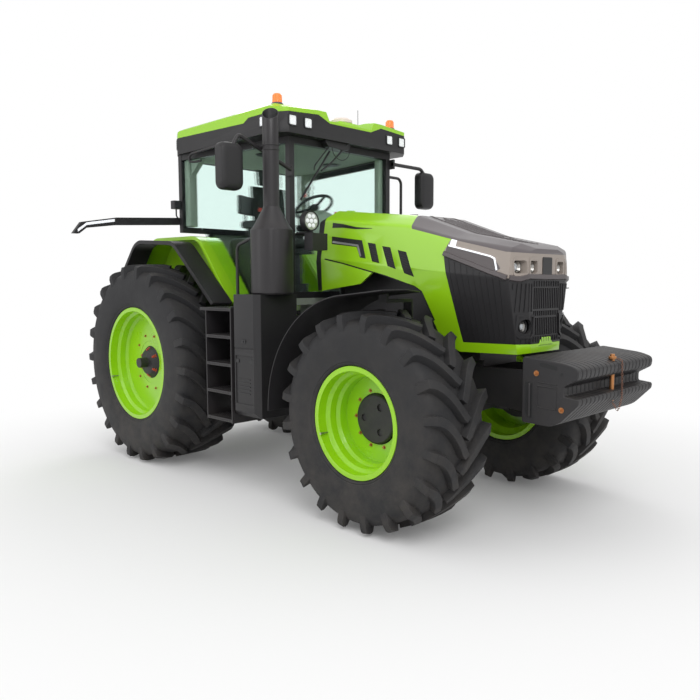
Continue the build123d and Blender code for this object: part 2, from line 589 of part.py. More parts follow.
# ---------------------------------------------------------------- cab
HINGE_X = CAB_REAR + POST / 2 + 3
HINGE_Y = C_POST_Y + POST / 2 + 14
BARREL_R = 11
BARREL_H = 38
HINGE_Z = (2450, 2850)
DOOR_LOW_X = FRONT_X - 2050
FENDER_TOP_X = FRONT_X - 2500
with BuildPart() as cab_frame:
    for side, s in SIDES:
        a_y = s * A_POST_Y
        c_y = s * C_POST_Y
        half = POST / 2
        block((CAB_FRONT - half, CAB_FRONT + half), (a_y - half, a_y + half), (FLOOR_Z, ROOF_Z))
        block((CAB_REAR - half, CAB_REAR + half), (c_y - half, c_y + half), (SILL_Z, ROOF_Z))
        # roof rail from post to post
        plan_plate([(CAB_FRONT, a_y - half), (CAB_FRONT, a_y + half), (CAB_REAR, c_y + half),
                    (CAB_REAR, c_y - half)], (ROOF_Z - POST, ROOF_Z))
        # short post between the floor and the rear cross rail
        block((CAB_REAR - half, CAB_REAR + half), sorted((s * (BODY_Y - 35), s * BODY_Y)), (FLOOR_Z, SILL_Z + 10))
    for x0 in (CAB_FRONT, CAB_REAR):
        width = A_POST_Y if x0 == CAB_FRONT else C_POST_Y
        block((x0 - POST / 2, x0 + POST / 2), (-width, width), (ROOF_Z - POST, ROOF_Z))
    block((CAB_REAR - POST / 2, CAB_REAR + POST / 2), (-C_POST_Y, C_POST_Y), (SILL_Z, SILL_Z + POST))
    block((CAB_FRONT - POST / 2, CAB_FRONT + POST / 2), (-A_POST_Y, A_POST_Y), (FLOOR_Z, FLOOR_Z + POST))
    for z in HINGE_Z:
        rod((HINGE_X, HINGE_Y, z - BARREL_H), (HINGE_X, HINGE_Y, z), BARREL_R)
        block((HINGE_X - 45, HINGE_X), (HINGE_Y - 16, HINGE_Y), (z - BARREL_H, z))
save(cab_frame.part, "cab_frame")

with BuildPart() as cab_floor:
    plan_plate([(CAB_FRONT + 28, -648), (DOOR_LOW_X + 30, -700), (DOOR_LOW_X + 30, -BODY_Y), (CAB_REAR - 28, -BODY_Y),
                (CAB_REAR - 28, BODY_Y), (DOOR_LOW_X + 30, BODY_Y), (DOOR_LOW_X + 30, 700), (CAB_FRONT + 28, 648)],
               (FLOOR_Z - 60, FLOOR_Z))
    block((CAB_REAR - 28, CAB_REAR - 4), (-BODY_Y + 35, BODY_Y - 35), (FLOOR_Z, SILL_Z))
    for x0 in (CAB_REAR, DOOR_LOW_X + 300):
        block((x0, x0 + 160), (-170, 170), (GEARBOX_TOP + FACE_GAP, FLOOR_Z - 60))
save(cab_floor.part, "cab_floor")

ROOF_FRONT = FRONT_X - 1215
ROOF_BACK = FRONT_X - 2900
ROOF_HALF = 850
# plan of the roof's right half, front to back
ROOF_HALF_PLAN = ((ROOF_FRONT, -740), (ROOF_FRONT - 110, -ROOF_HALF), (ROOF_BACK + 120, -ROOF_HALF),
                  (ROOF_BACK + 25, -800), (ROOF_BACK, -700))
ROOF_PLAN = ROOF_HALF_PLAN + tuple((x, -y) for x, y in reversed(ROOF_HALF_PLAN))
ROOF_KINK = FRONT_X - 1610     # where the fascia steps up to the front lamp pods
# upper edge of the fascia: side view, then the right half of the front view
FASCIA_SIDE = ((ROOF_BACK, 3210), (ROOF_KINK - 95, 3178), (ROOF_KINK, 3225), (ROOF_KINK, 3290), (ROOF_FRONT, 3290))
FASCIA_FRONT = ((870, 3214), (402, 3245), (262, 3190))
SHELL_TOP = 3300
# sections of the roof shell: x, height of its side, then half width and height of its top
SHELL_SECTIONS = (
    (ROOF_FRONT, 3248, 408, 3283),
    (ROOF_FRONT - 130, 3262, 790, SHELL_TOP),
    (ROOF_BACK + 150, 3262, 790, SHELL_TOP),
    (ROOF_BACK, 3235, 700, 3250),
)
HOLLOW = (268, 330)            # half width and length of the hollow at the front of the shell
HOLLOW_Z = 3212
LAMP_Z = 3155
LAMP = 88                      # side of a roof lamp
LAMP_POCKET = 12               # depth of its pocket in the fascia
FRONT_LAMP_Y = (523, 698)
SIDE_LAMP_BACK = 215           # side lamp behind the roof's front
CORNER_AT = (ROOF_BACK + 72, 825)      # middle of the corner lamps' faces: x and |y|
CORNER_TURN = 62.2             # turn of their faces from straight back, in degrees


def mirrored(half):
    """Outline of (y, z) points over the middle, from its left half."""
    return list(half) + [(-y, z) for y, z in reversed(half)]


def roof_lamp_blocks(depth, out, mode=Mode.ADD):
    """Rounded lamp bodies of the roof, from a depth inside the fascia's faces out to its faces and beyond."""
    outward = (-math.cos(math.radians(CORNER_TURN)), math.sin(math.radians(CORNER_TURN)))
    for side, s in SIDES:
        planes = [Plane(origin=(ROOF_FRONT, s * y, LAMP_Z), z_dir=(1, 0, 0)) for y in FRONT_LAMP_Y]
        planes.append(Plane(origin=(ROOF_FRONT - SIDE_LAMP_BACK, s * ROOF_HALF, LAMP_Z), z_dir=(0, s, 0)))
        planes.append(Plane(origin=(CORNER_AT[0], s * CORNER_AT[1], LAMP_Z), x_dir=(outward[1], -s * outward[0], 0),
                            z_dir=(outward[0], s * outward[1], 0)))
        for plane in planes:
            with BuildSketch(plane.offset(-depth)) as lamp_face:
                RectangleRounded(LAMP, LAMP, 14)
            extrude(lamp_face.sketch, amount=depth + out, mode=mode)


with BuildPart() as fascia_form:
    plan_plate(ROOF_PLAN, (ROOF_Z, SHELL_TOP))
    side_plate([(ROOF_BACK, ROOF_Z), *FASCIA_SIDE, (ROOF_FRONT, ROOF_Z)], (-900, 900), mode=Mode.INTERSECT)
    cross_plate(mirrored([(870, ROOF_Z), *FASCIA_FRONT]), (ROOF_BACK, ROOF_FRONT), mode=Mode.INTERSECT)
with BuildPart() as roof_fascia:
    add(fascia_form.part)
    roof_lamp_blocks(LAMP_POCKET, 20, mode=Mode.SUBTRACT)
save(roof_fascia.part, "roof_fascia")
with BuildPart() as roof_shell:
    sections = []
    for x, edge_z, top_y, top_z in SHELL_SECTIONS:
        with BuildSketch(Plane.YZ.offset(x)) as section:
            with BuildLine():
                Polyline(*mirrored([(870, ROOF_Z + 100), (870, edge_z), (top_y, top_z)]), close=True)
            make_face()
        sections.append(section.sketch)
    loft(sections, ruled=True)
    plan_plate(ROOF_PLAN, (ROOF_Z, SHELL_TOP + 10), mode=Mode.INTERSECT)
    add(fascia_form.part, mode=Mode.SUBTRACT)
    cross_plate(mirrored([(HOLLOW[0] + 60, SHELL_TOP + 20), (HOLLOW[0], HOLLOW_Z)]), (ROOF_FRONT - HOLLOW[1], ROOF_FRONT + 1),
                mode=Mode.SUBTRACT)
    # foot of the navigation receiver in the hollow
    with BuildSketch(Plane.XY.offset(HOLLOW_Z)) as receiver_foot:
        with Locations((ROOF_FRONT - 125, 0)):
            RectangleRounded(240, 270, 30)
    extrude(receiver_foot.sketch, amount=26, taper=20)
save(roof_shell.part, "roof_shell")

with BuildPart() as beacons:
    for side, s in SIDES:
        with Locations((FRONT_X - 1390, s * 720, SHELL_TOP)):
            Cylinder(45, 12, align=(Align.CENTER, Align.CENTER, Align.MIN))
        with BuildSketch(Plane.XY.offset(SHELL_TOP + 12)) as beacon_foot:
            with Locations((FRONT_X - 1390, s * 720)):
                Circle(38)
        extrude(beacon_foot.sketch, amount=88, taper=2)
save(beacons.part, "beacons")

# windows: windscreen, rear window and the right-hand side window
SIDE_OUTLINE = (
    (CAB_FRONT - POST / 2 - RUN_GAP, FLOOR_Z + 10), (DOOR_LOW_X, FLOOR_Z + 10), (DOOR_LOW_X - 20, FLOOR_Z + 120),
    (FENDER_TOP_X, SILL_Z + 40), (CAB_REAR + POST / 2 + RUN_GAP, SILL_Z + 40),
    (CAB_REAR + POST / 2 + RUN_GAP, ROOF_Z - POST - RUN_GAP),
    (CAB_FRONT - POST / 2 - RUN_GAP, ROOF_Z - POST - RUN_GAP),
)
SIDE_RUN = Vector(CAB_FRONT - CAB_REAR, A_POST_Y - C_POST_Y)
DOOR_T = 40
DOOR_RAIL = 48


def side_plane(s, depth=0):
    """Upright plane through the outer faces of the posts on one side, moved inward by depth."""
    outward = Vector(C_POST_Y - A_POST_Y, s * SIDE_RUN.X, 0).normalized()
    origin = Vector(CAB_FRONT, s * (A_POST_Y + POST / 2), 0) - outward * depth
    return Plane(origin=origin, x_dir=(SIDE_RUN.X, s * SIDE_RUN.Y, 0), z_dir=outward)


def side_panel(s, depth, t, inset=0, opening=0):
    """Side outline as a plate; inset moves its edge inward, opening cuts it out to a frame."""
    plane = side_plane(s, depth)
    stretch = SIDE_RUN.length / SIDE_RUN.X
    up = plane.y_dir.Z
    with BuildSketch(plane) as face:
        with BuildLine():
            Polyline(*[((x - CAB_FRONT) * stretch, z * up) for x, z in SIDE_OUTLINE], close=True)
        make_face()
        if inset:
            offset(amount=-inset, kind=Kind.INTERSECTION, mode=Mode.REPLACE)
        if opening:
            offset(amount=-opening, kind=Kind.INTERSECTION, mode=Mode.SUBTRACT)
    extrude(face.sketch, amount=-t)


with BuildPart() as cab_glass:
    block((CAB_FRONT - GLASS / 2, CAB_FRONT + GLASS / 2), (-A_POST_Y + POST / 2, A_POST_Y - POST / 2),
          (FLOOR_Z + POST, ROOF_Z - POST))
    block((CAB_REAR - GLASS / 2, CAB_REAR + GLASS / 2), (-C_POST_Y + POST / 2, C_POST_Y - POST / 2),
          (SILL_Z + POST, ROOF_Z - POST))
    side_panel(-1, 10, GLASS, inset=FACE_GAP - RUN_GAP)
    block((CAB_REAR - POST, CAB_REAR + POST / 2 + FACE_GAP), (-C_POST_Y - POST, -C_POST_Y + POST / 2 + FACE_GAP),
          (SILL_Z, ROOF_Z), mode=Mode.SUBTRACT)
save(cab_glass.part, "cab_glass")

with BuildPart() as door_frame:
    side_panel(1, 0, DOOR_T, opening=DOOR_RAIL)
    for z in HINGE_Z:
        rod((HINGE_X, HINGE_Y, z + FACE_GAP), (HINGE_X, HINGE_Y, z + BARREL_H), BARREL_R)
        block((HINGE_X, HINGE_X + 45), (HINGE_Y - 26, HINGE_Y), (z + FACE_GAP, z + BARREL_H))
save(door_frame.part, "door_frame")
with BuildPart() as door_glass:
    side_panel(1, DOOR_T / 2, GLASS, inset=DOOR_RAIL)
save(door_glass.part, "door_glass")

# seat and steering console
SEAT_X = FRONT_X - 2180
CUSHION_ROUND = 45
with BuildPart() as seat:
    with BuildSketch(Plane.XY.offset(2115)) as cushion:
        with Locations((SEAT_X, 0)):
            RectangleRounded(520, 500, 90)
    extrude(cushion.sketch, amount=115)
    fillet(seat.edges().group_by(Axis.Z)[-1], CUSHION_ROUND)
    with BuildSketch(Plane(origin=(SEAT_X - 200, 0, 2190), x_dir=(0, 1, 0), z_dir=(0.994, 0, 0.107))) as backrest:
        with Locations((0, 290)):
            RectangleRounded(470, 580, 110)
    extrude(backrest.sketch, amount=-120)
    block((SEAT_X - 200, SEAT_X + 180), (-190, 190), (FLOOR_Z, 2120))
save(seat.part, "seat")

with BuildPart() as console:
    side_plate([(CAB_FRONT - 120, FLOOR_Z), (CAB_FRONT - 60, FLOOR_Z), (CAB_FRONT - 130, 2380),
                (CAB_FRONT - 330, 2420), (CAB_FRONT - 330, 2340), (CAB_FRONT - 220, 2300)], (-110, 110))
    with BuildSketch(Plane(origin=(CAB_FRONT - 380, 0, 2500), z_dir=(-0.5, 0, 0.866))) as ring:
        Circle(205)
        Circle(178, mode=Mode.SUBTRACT)
        Rectangle(370, 40)
        Circle(55)
    extrude(ring.sketch, amount=22)
    rod((CAB_FRONT - 250, 0, 2360), (CAB_FRONT - 384, 0, 2506), 34)
save(console.part, "steering_console")

# ---------------------------------------------------------------- roof lamps
with BuildPart() as roof_lamps:
    roof_lamp_blocks(LAMP_POCKET, -2)
save(roof_lamps.part, "roof_lamps")

# ---------------------------------------------------------------- exhaust, side box, steps and tanks
STACK_X = FRONT_X - 1195
STACK_Y = -955
CANISTER_R = 177
PIPE_R = 67
SIDE_Y = (750, 1180)
BOX_X = (FRONT_X - 1480, FRONT_X - 1125)
BOX_Z = (665, 1690)
PLATFORM_REACH = 100           # top platform behind the steps
STEP_X = (REAR_X + REAR_TYRE_R + WHEEL_ROOM + PLATFORM_REACH, BOX_X[0] - 15)
PIPE_WALL = 5
MOUTH_Z = 3165                 # middle of the slash-cut mouth
RING_Z = (2868, 2905)          # clamp rings on the pipe
with BuildPart() as exhaust:
    with BuildSketch(Plane.XZ.offset(-STACK_Y)) as half_section:
        with BuildLine():
            Polyline((STACK_X, BOX_Z[1]), (STACK_X + CANISTER_R - 12, BOX_Z[1]), (STACK_X + CANISTER_R, BOX_Z[1] + 12),
                     (STACK_X + CANISTER_R, 2219), (STACK_X + CANISTER_R - 30, 2258), (STACK_X + PIPE_R + 14, 2380),
                     (STACK_X + PIPE_R, 2410), (STACK_X + PIPE_R, 3260), (STACK_X, 3260), close=True)
        make_face()
    revolve(half_section.sketch, axis=Axis((STACK_X, STACK_Y, 0), (0, 0, 1)))
    for z in RING_Z:
        with Locations((STACK_X, STACK_Y, z)):
            Cylinder(PIPE_R + 5, 10)
    with Locations((STACK_X, STACK_Y, 3260)):
        Cylinder(PIPE_R - PIPE_WALL, 600, mode=Mode.SUBTRACT)
    split(bisect_by=Plane(origin=(STACK_X, STACK_Y, MOUTH_Z), z_dir=(1, -1, 1.6)), keep=Keep.BOTTOM)
save(exhaust.part, "exhaust")

BOX_CHAMFER = 45
BOX_SEAM_Z = 1240
with BuildPart() as side_box:
    block(BOX_X, (-SIDE_Y[1], -SIDE_Y[0]), BOX_Z)
    outer = side_box.edges().filter_by(Axis.Z).group_by(Axis.Y)[0]
    low = side_box.edges().filter_by(Axis.X).group_by(Axis.Z)[0].group_by(Axis.Y)[0]
    chamfer(outer + low, BOX_CHAMFER)
    # seam round the box at mid height and a shallow door below it
    block((BOX_X[0] - 1, BOX_X[1] + 1), (-SIDE_Y[1] - 1, -SIDE_Y[1] + 4), (BOX_SEAM_Z, BOX_SEAM_Z + 5),
          mode=Mode.SUBTRACT)
    block((BOX_X[0] + BOX_CHAMFER + 15, BOX_X[1] - BOX_CHAMFER - 15), (-SIDE_Y[1] - 1, -SIDE_Y[1] + 8),
          (BOX_Z[0] + 110, BOX_SEAM_Z - 60), mode=Mode.SUBTRACT)
    for z in (1000, 1250):
        block((BOX_X[0] + 80, BOX_X[0] + 160), (-SIDE_Y[0], -FRAME_Y[0]), (z, z + 80))
save(side_box.part, "side_box")

TREADS = (590, 830, 1070, 1310)
STEP_Y = 870                   # inner edge of the steps
STEP_T = 28
CHEEK_T = 14
PLATFORM_Z = 1574
STRAP = 40                     # width of the straps that carry steps and tanks
step_run = STEP_X[1] - STEP_X[0]
for side, s in SIDES:
    with BuildPart() as steps:
        for z in TREADS:
            block(STEP_X, sorted((s * STEP_Y, s * SIDE_Y[1])), (z, z + STEP_T))
        for x0 in (STEP_X[0] - CHEEK_T, STEP_X[1]):
            block((x0, x0 + CHEEK_T), sorted((s * STEP_Y, s * SIDE_Y[1])), (TREADS[0] - 8, PLATFORM_Z))
        block((STEP_X[0] - PLATFORM_REACH, STEP_X[1] + CHEEK_T), sorted((s * 700, s * SIDE_Y[1])),
              (PLATFORM_Z - STEP_T, PLATFORM_Z))
        for share in (0.2, 0.8):
            x0 = STEP_X[0] + share * step_run - STRAP / 2
            block((x0, x0 + STRAP), sorted((s * FRAME_Y[0], s * STEP_Y)), (1330, 1380))
            block((x0, x0 + STRAP), sorted((s * (STEP_Y - CHEEK_T), s * STEP_Y)), (1330, PLATFORM_Z - STEP_T))
    save(steps.part, f"steps_{side}")

TANK_BACK = REAR_X + REAR_TYRE_R + WHEEL_ROOM
TANK_ROUND = 60
with BuildPart() as fuel_tank:
    for s, front in ((1, FRONT_X - 1160), (-1, FRONT_X - 1560)):
        with BuildSketch(Plane.YZ.offset(TANK_BACK)) as tank_face:
            with Locations((s * 555, 1005)):
                RectangleRounded(270, 570, TANK_ROUND)
        extrude(tank_face.sketch, amount=front - TANK_BACK)
        block((TANK_BACK + 20, TANK_BACK + 20 + STRAP), sorted((s * FRAME_Y[0], s * 425)), (900, 960))
save(fuel_tank.part, "fuel_tank")

# ---------------------------------------------------------------- rear mudguards
FENDER_Y = (530, 780)
FLARE_Y = 1000
FENDER_T = 40
# arches over the rear tyre: angle in degrees from forward, gap over the tyre
FENDER_ARCH = ((128.7, 162), (107.4, 346), (69.2, 360), (31.2, 191))
FLARE_ARCH = ((126, 149), (106.3, 311), (73.2, 270), (30.5, 221))
ARCH_ROUND = 260               # bend between an arch's runs


def arch_strip(arch, t, y):
    """Bent sheet of thickness t over the rear tyre, between two y limits."""
    with BuildSketch(Plane.XZ.offset(-y[1])) as strip:
        with BuildLine():
            faces = []
            for inset in (0, t):
                points = [on_arc(REAR_TYRE_R + gap - inset, angle) for angle, gap in arch]
                faces.append(FilletPolyline(*[(REAR_X + dx, REAR_TYRE_R + dz) for dx, dz in points],
                                            radius=ARCH_ROUND - inset))
            for end in (0, 1):
                Line(faces[0] @ end, faces[1] @ end)
        make_face()
    extrude(strip.sketch, amount=y[1] - y[0])


CHEEK_Z = 1480                 # lower edge of the fenders' inner cheeks
with BuildPart() as fenders:
    for side, s in SIDES:
        arch_strip(FENDER_ARCH, FENDER_T, sorted(s * v for v in FENDER_Y))
        with BuildSketch(Plane.XZ.offset(-max(s * 515, s * FENDER_Y[0]))) as cheek:
            with BuildLine():
                points = [on_arc(REAR_TYRE_R + gap, angle) for angle, gap in FENDER_ARCH]
                rim_line = FilletPolyline(*[(REAR_X + dx, REAR_TYRE_R + dz) for dx, dz in points], radius=ARCH_ROUND)
                Polyline(rim_line @ 1, (REAR_X + 900, CHEEK_Z), (REAR_X - 600, CHEEK_Z), rim_line @ 0)
            make_face()
        extrude(cheek.sketch, amount=FENDER_Y[0] - 515)
        block((REAR_X - 60, REAR_X + 60), sorted((s * 470, s * 515)), (REAR_TYRE_R + TRUMPET_R + FACE_GAP, 1700))
save(fenders.part, "fenders")
with BuildPart() as fender_flares:
    for side, s in SIDES:
        arch_strip(FLARE_ARCH, FENDER_T, sorted((s * FENDER_Y[1], s * FLARE_Y)))
save(fender_flares.part, "fender_flares")

# ---------------------------------------------------------------- mirrors, handrails, marker arms
MIRROR_X = FRONT_X - 1290
# columns: side, middle y and height of the head, then y and z of the arm's root and z of its outer bend
MIRRORS = ((1, 1165, 2735, 2950, 2950), (-1, 1290, 2714, 2750, 2972))
MIRROR_W = 240
MIRROR_H = 380
with BuildPart() as mirrors:
    for s, y_mid, z_mid, root_z, bend_z in MIRRORS:
        with BuildSketch(Plane.YZ.offset(MIRROR_X - 55)) as mirror_face:
            with Locations((s * y_mid, z_mid)):
                RectangleRounded(MIRROR_W, MIRROR_H, 48)
        extrude(mirror_face.sketch, amount=95, taper=10)
        tube([(MIRROR_X, s * (A_POST_Y + POST / 2), root_z), (MIRROR_X, s * (y_mid - 80), bend_z),
              (MIRROR_X, s * (y_mid - 30), z_mid + MIRROR_H / 2 - 20)], 17, 30)
        block((CAB_FRONT, MIRROR_X + 17), sorted((s * (A_POST_Y + POST / 2), s * (A_POST_Y + POST / 2 + 20))),
              (root_z - 45, root_z + 45))
save(mirrors.part, "mirrors")

with BuildPart() as handrails:
    x = CAB_FRONT + 16
    y = A_POST_Y + POST / 2
    tube([(x, y, 2830), (x, 830, 2830), (x, 830, 2100), (x, y, 2100)], 14, 60)
    rail_x = FRONT_X - 1690
    tube([(rail_x, -950, 1574), (rail_x, -950, 2110), (STACK_X - CANISTER_R - 7, STACK_Y, 2195)], 14, 60)
save(handrails.part, "handrails")

ARM_X = FRONT_X - 2830
ARM_TIP = 1920
with BuildPart() as marker_arms:
    for side, s in SIDES:
        cross_plate([(s * 810, 2370), (s * 810, 2440), (s * 1500, 2400), (s * (ARM_TIP - 80), 2340),
                     (s * ARM_TIP, 2235), (s * (ARM_TIP - 60), 2235), (s * (ARM_TIP - 130), 2290), (s * 1500, 2330)],
                    (ARM_X - 35, ARM_X + 12))
save(marker_arms.part, "marker_arms")

# ---------------------------------------------------------------- rear linkage, drawbar and power take-off
LINK_TIP_X = -LENGTH / 2 + 50
LINK_TIP_Z = 560
LINK_Y = (320, 483)
LINK_ROD_AT = 480              # along x from the pivot to the lift rod
BALL_R = 18.5                  # lower-link ball bore, category 3
EYE_W = 45
LINK_SIDE_GAP = 5              # lower link to its bracket's cheeks
LINK_PIN_R = 20
ROD_PIN_R = 18
ROD_OFFSET = 52                # lift rod beside its arm and link
slope = (LINK_TIP_Z - LINK_PIVOT[1]) / (LINK_PIVOT[0] - LINK_TIP_X)
rod_x = LINK_PIVOT[0] - LINK_ROD_AT
rod_z = LINK_PIVOT[1] + slope * LINK_ROD_AT
rod_y = LINK_Y[0] + (LINK_Y[1] - LINK_Y[0]) * LINK_ROD_AT / (LINK_PIVOT[0] - LINK_TIP_X)
with BuildPart() as lower_links:
    for side, s in SIDES:
        plan_plate([(LINK_PIVOT[0], s * (LINK_Y[0] - 13)), (LINK_PIVOT[0], s * (LINK_Y[0] + 13)),
                    (LINK_TIP_X + 45, s * (LINK_Y[1] + 18)), (LINK_TIP_X + 45, s * (LINK_Y[1] - 18))],
                   (LINK_TIP_Z - 60, LINK_PIVOT[1] + 60))
    side_plate([(LINK_PIVOT[0] + 20, LINK_PIVOT[1] - 45), (LINK_PIVOT[0] + 20, LINK_PIVOT[1] + 45),
                (LINK_TIP_X + 30, LINK_TIP_Z + 32), (LINK_TIP_X + 30, LINK_TIP_Z - 32)], (-600, 600),
               mode=Mode.INTERSECT)
    for side, s in SIDES:
        for (x, z), y, r in ((LINK_PIVOT, LINK_Y[0], 55), ((LINK_TIP_X, LINK_TIP_Z), LINK_Y[1], 50)):
            rod((x, s * y - EYE_W / 2, z), (x, s * y + EYE_W / 2, z), r)
    for side, s in SIDES:
        for (x, z), y, r in ((LINK_PIVOT, LINK_Y[0], LINK_PIN_R + PIN_FIT), ((LINK_TIP_X, LINK_TIP_Z), LINK_Y[1], BALL_R),
                             ((rod_x, rod_z), rod_y, ROD_PIN_R + PIN_FIT)):
            rod((x, s * y - EYE_W, z), (x, s * y + EYE_W, z), r, mode=Mode.SUBTRACT)
save(lower_links.part, "lower_links")

lift_x = rod_x
lift_z = LIFT_PIVOT_Z + (rod_z - LINK_PIVOT[1])
ARM_Y = (rod_y - 20, rod_y + 15)
with BuildPart() as lift_arms:
    rod((LINK_PIVOT[0], -ARM_Y[1], LIFT_PIVOT_Z), (LINK_PIVOT[0], ARM_Y[1], LIFT_PIVOT_Z), LIFT_SHAFT_R)
    for side, s in SIDES:
        side_plate([(LINK_PIVOT[0] + 20, LIFT_PIVOT_Z - 65), (LINK_PIVOT[0] + 20, LIFT_PIVOT_Z + 65),
                    (lift_x, lift_z + 38), (lift_x, lift_z - 38)], sorted(s * v for v in ARM_Y))
        rod((lift_x, s * ARM_Y[0], lift_z), (lift_x, s * ARM_Y[1], lift_z), 38)
    rod((lift_x, -600, lift_z), (lift_x, 600, lift_z), ROD_PIN_R + PIN_FIT, mode=Mode.SUBTRACT)
save(lift_arms.part, "lift_arms")

with BuildPart() as lift_rods:
    for side, s in SIDES:
        y = s * (rod_y + ROD_OFFSET)
        rod((lift_x, y, lift_z), (lift_x, y, rod_z), 23)
        for z in (lift_z, rod_z):
            rod((lift_x, y - 22, z), (lift_x, y + 22, z), 42)
            rod((lift_x, y, z), (lift_x, s * (rod_y - 24), z), ROD_PIN_R)
save(lift_rods.part, "lift_rods")

HITCH_BACK = REAR_X - 420
PTO_Z = 820
with BuildPart() as hitch:
    # lower-link brackets
    for side, s in SIDES:
        reach = EYE_W / 2 + LINK_SIDE_GAP
        for y in (LINK_Y[0] - reach - 20, LINK_Y[0] + reach):
            side_plate([(REAR_X - 220, LINK_PIVOT[1] - 60), (LINK_PIVOT[0] - 40, LINK_PIVOT[1] - 44),
                        (LINK_PIVOT[0] - 40, LINK_PIVOT[1] + 44), (REAR_X - 220, LINK_PIVOT[1] + 160)],
                       sorted((s * y, s * (y + 20))))
        rod((LINK_PIVOT[0], s * (LINK_Y[0] - reach - 20), LINK_PIVOT[1]),
            (LINK_PIVOT[0], s * (LINK_Y[0] + reach + 20), LINK_PIVOT[1]), LINK_PIN_R)
        block((REAR_X - 240, REAR_X - 160), sorted((s * FRAME_Y[0], s * (LINK_Y[0] + reach + 20))), (600, 780))
    # top-link bracket
    for y in (-50, 30):
        side_plate([(HITCH_BACK - 0.3, 960), (HITCH_BACK - 130, 1010), (HITCH_BACK - 130, 1090),
                    (HITCH_BACK - 0.3, 1200)], (y, y + 20))
    rod((HITCH_BACK - 95, -60, 1050), (HITCH_BACK - 95, 60, 1050), 16.25, mode=Mode.SUBTRACT)
    block((HITCH_BACK - 20, HITCH_BACK - 0.3), (-90, 90), (960, 1200))
    # drawbar
    block((HITCH_BACK - 420, HITCH_BACK + 300), (-50, 50), (480, 530))
    block((HITCH_BACK - 30, HITCH_BACK + 60), (-120, 120), (530, 619.7))
    with Locations((HITCH_BACK - 370, 0, 505)):
        Cylinder(19.5, 60, mode=Mode.SUBTRACT)
save(hitch.part, "hitch")

with BuildPart() as pto_shaft:
    rod((HITCH_BACK - FACE_GAP, 0, PTO_Z), (HITCH_BACK - 90, 0, PTO_Z), 22.2)
    rod((HITCH_BACK - FACE_GAP, 0, PTO_Z), (HITCH_BACK - 20, 0, PTO_Z), 45)
save(pto_shaft.part, "pto_shaft")

# ---------------------------------------------------------------- lamps on the hood, side lamps, wiper, tow pin
with BuildPart() as headlamps:
    for side, s in SIDES:
        for y in POD_Y:
            rod((POD_BACK + POD_WALL + FACE_GAP, s * y, POD_Z), (POD_BACK + POD_WALL + 40, s * y, POD_Z), 40)
        rod((FRONT_X + 735, s * LOW_LAMP[0], LOW_LAMP[1]), (FRONT_X + 766, s * LOW_LAMP[0], LOW_LAMP[1]), LOW_LAMP_R)
save(headlamps.part, "headlamps")

# round work lamps beside the hood, each on an arm from the cowl
SIDE_LAMP = (FRONT_X - 950, 750, 2291)
SIDE_LAMP_R = 84
LAMP_ARM_X = FRONT_X - 1150
LAMP_ARM_Z = 2195
with BuildPart() as side_lamps:
    for side, s in SIDES:
        x, y, z = SIDE_LAMP
        with BuildSketch(Plane.YZ.offset(x - 32)) as lamp_body:
            with Locations((s * y, z)):
                Circle(SIDE_LAMP_R)
        extrude(lamp_body.sketch, amount=48, taper=4)
        tube([(LAMP_ARM_X, s * 400, LAMP_ARM_Z), (LAMP_ARM_X, s * y, LAMP_ARM_Z), (x + 30, s * y, LAMP_ARM_Z)], 13, 45)
        block((x - 24, x + 4), sorted((s * (y - 12), s * (y + 12))), (LAMP_ARM_Z, z - SIDE_LAMP_R + 12))
        block((x + 10, x + 110), sorted((s * (y - 95), s * (y + 70))), (LAMP_ARM_Z - 145, LAMP_ARM_Z - 8))
    # the arms end on the cowl's sides
    add(cowl_form.part, mode=Mode.SUBTRACT)
save(side_lamps.part, "side_lamps")

with BuildPart() as tow_pin:
    rod((TOW_PIN_X, 0, 965), (TOW_PIN_X, 0, 1290), TOW_PIN_R)
    rod((TOW_PIN_X, 0, 1257), (TOW_PIN_X, 0, 1275), 26)
save(tow_pin.part, "tow_pin")
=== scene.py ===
# %% [markdown]
# # Dressing a row-crop tractor
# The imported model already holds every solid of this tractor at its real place: tyres, rims, hood,
# cab, weights. This file gives those solids their looks. Each step says what the piece is on the real
# machine, how it could be made, and why it is made the way it is here. Lengths are in metres,
# X points forward, Y to the tractor's left and Z up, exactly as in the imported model.

import json
import math

import bmesh
import bpy
from mathutils import Euler, Matrix, Quaternion, Vector
from mathutils.bvhtree import BVHTree

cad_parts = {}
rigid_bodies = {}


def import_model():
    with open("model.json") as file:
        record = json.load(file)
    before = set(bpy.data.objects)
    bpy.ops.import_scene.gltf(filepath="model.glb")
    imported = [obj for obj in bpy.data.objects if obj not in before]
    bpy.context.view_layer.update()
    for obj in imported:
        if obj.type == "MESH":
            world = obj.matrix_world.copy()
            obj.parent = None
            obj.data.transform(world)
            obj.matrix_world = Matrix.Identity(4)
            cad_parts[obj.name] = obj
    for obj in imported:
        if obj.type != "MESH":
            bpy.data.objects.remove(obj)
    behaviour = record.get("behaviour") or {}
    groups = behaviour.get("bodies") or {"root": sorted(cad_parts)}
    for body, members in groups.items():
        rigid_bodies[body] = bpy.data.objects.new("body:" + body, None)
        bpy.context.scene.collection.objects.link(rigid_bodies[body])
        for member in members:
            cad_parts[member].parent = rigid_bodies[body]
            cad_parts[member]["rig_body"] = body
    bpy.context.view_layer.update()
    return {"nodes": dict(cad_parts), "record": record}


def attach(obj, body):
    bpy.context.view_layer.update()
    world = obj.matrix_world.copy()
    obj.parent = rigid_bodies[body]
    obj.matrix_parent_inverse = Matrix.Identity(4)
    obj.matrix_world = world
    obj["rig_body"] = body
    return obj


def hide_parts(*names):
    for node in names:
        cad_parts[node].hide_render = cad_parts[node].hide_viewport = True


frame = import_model()
nodes = frame["nodes"]
MM = 0.001
SIDES = (("left", 1), ("right", -1))
FRONT, REAR = 1.4875, -1.5625          # where the axles stand

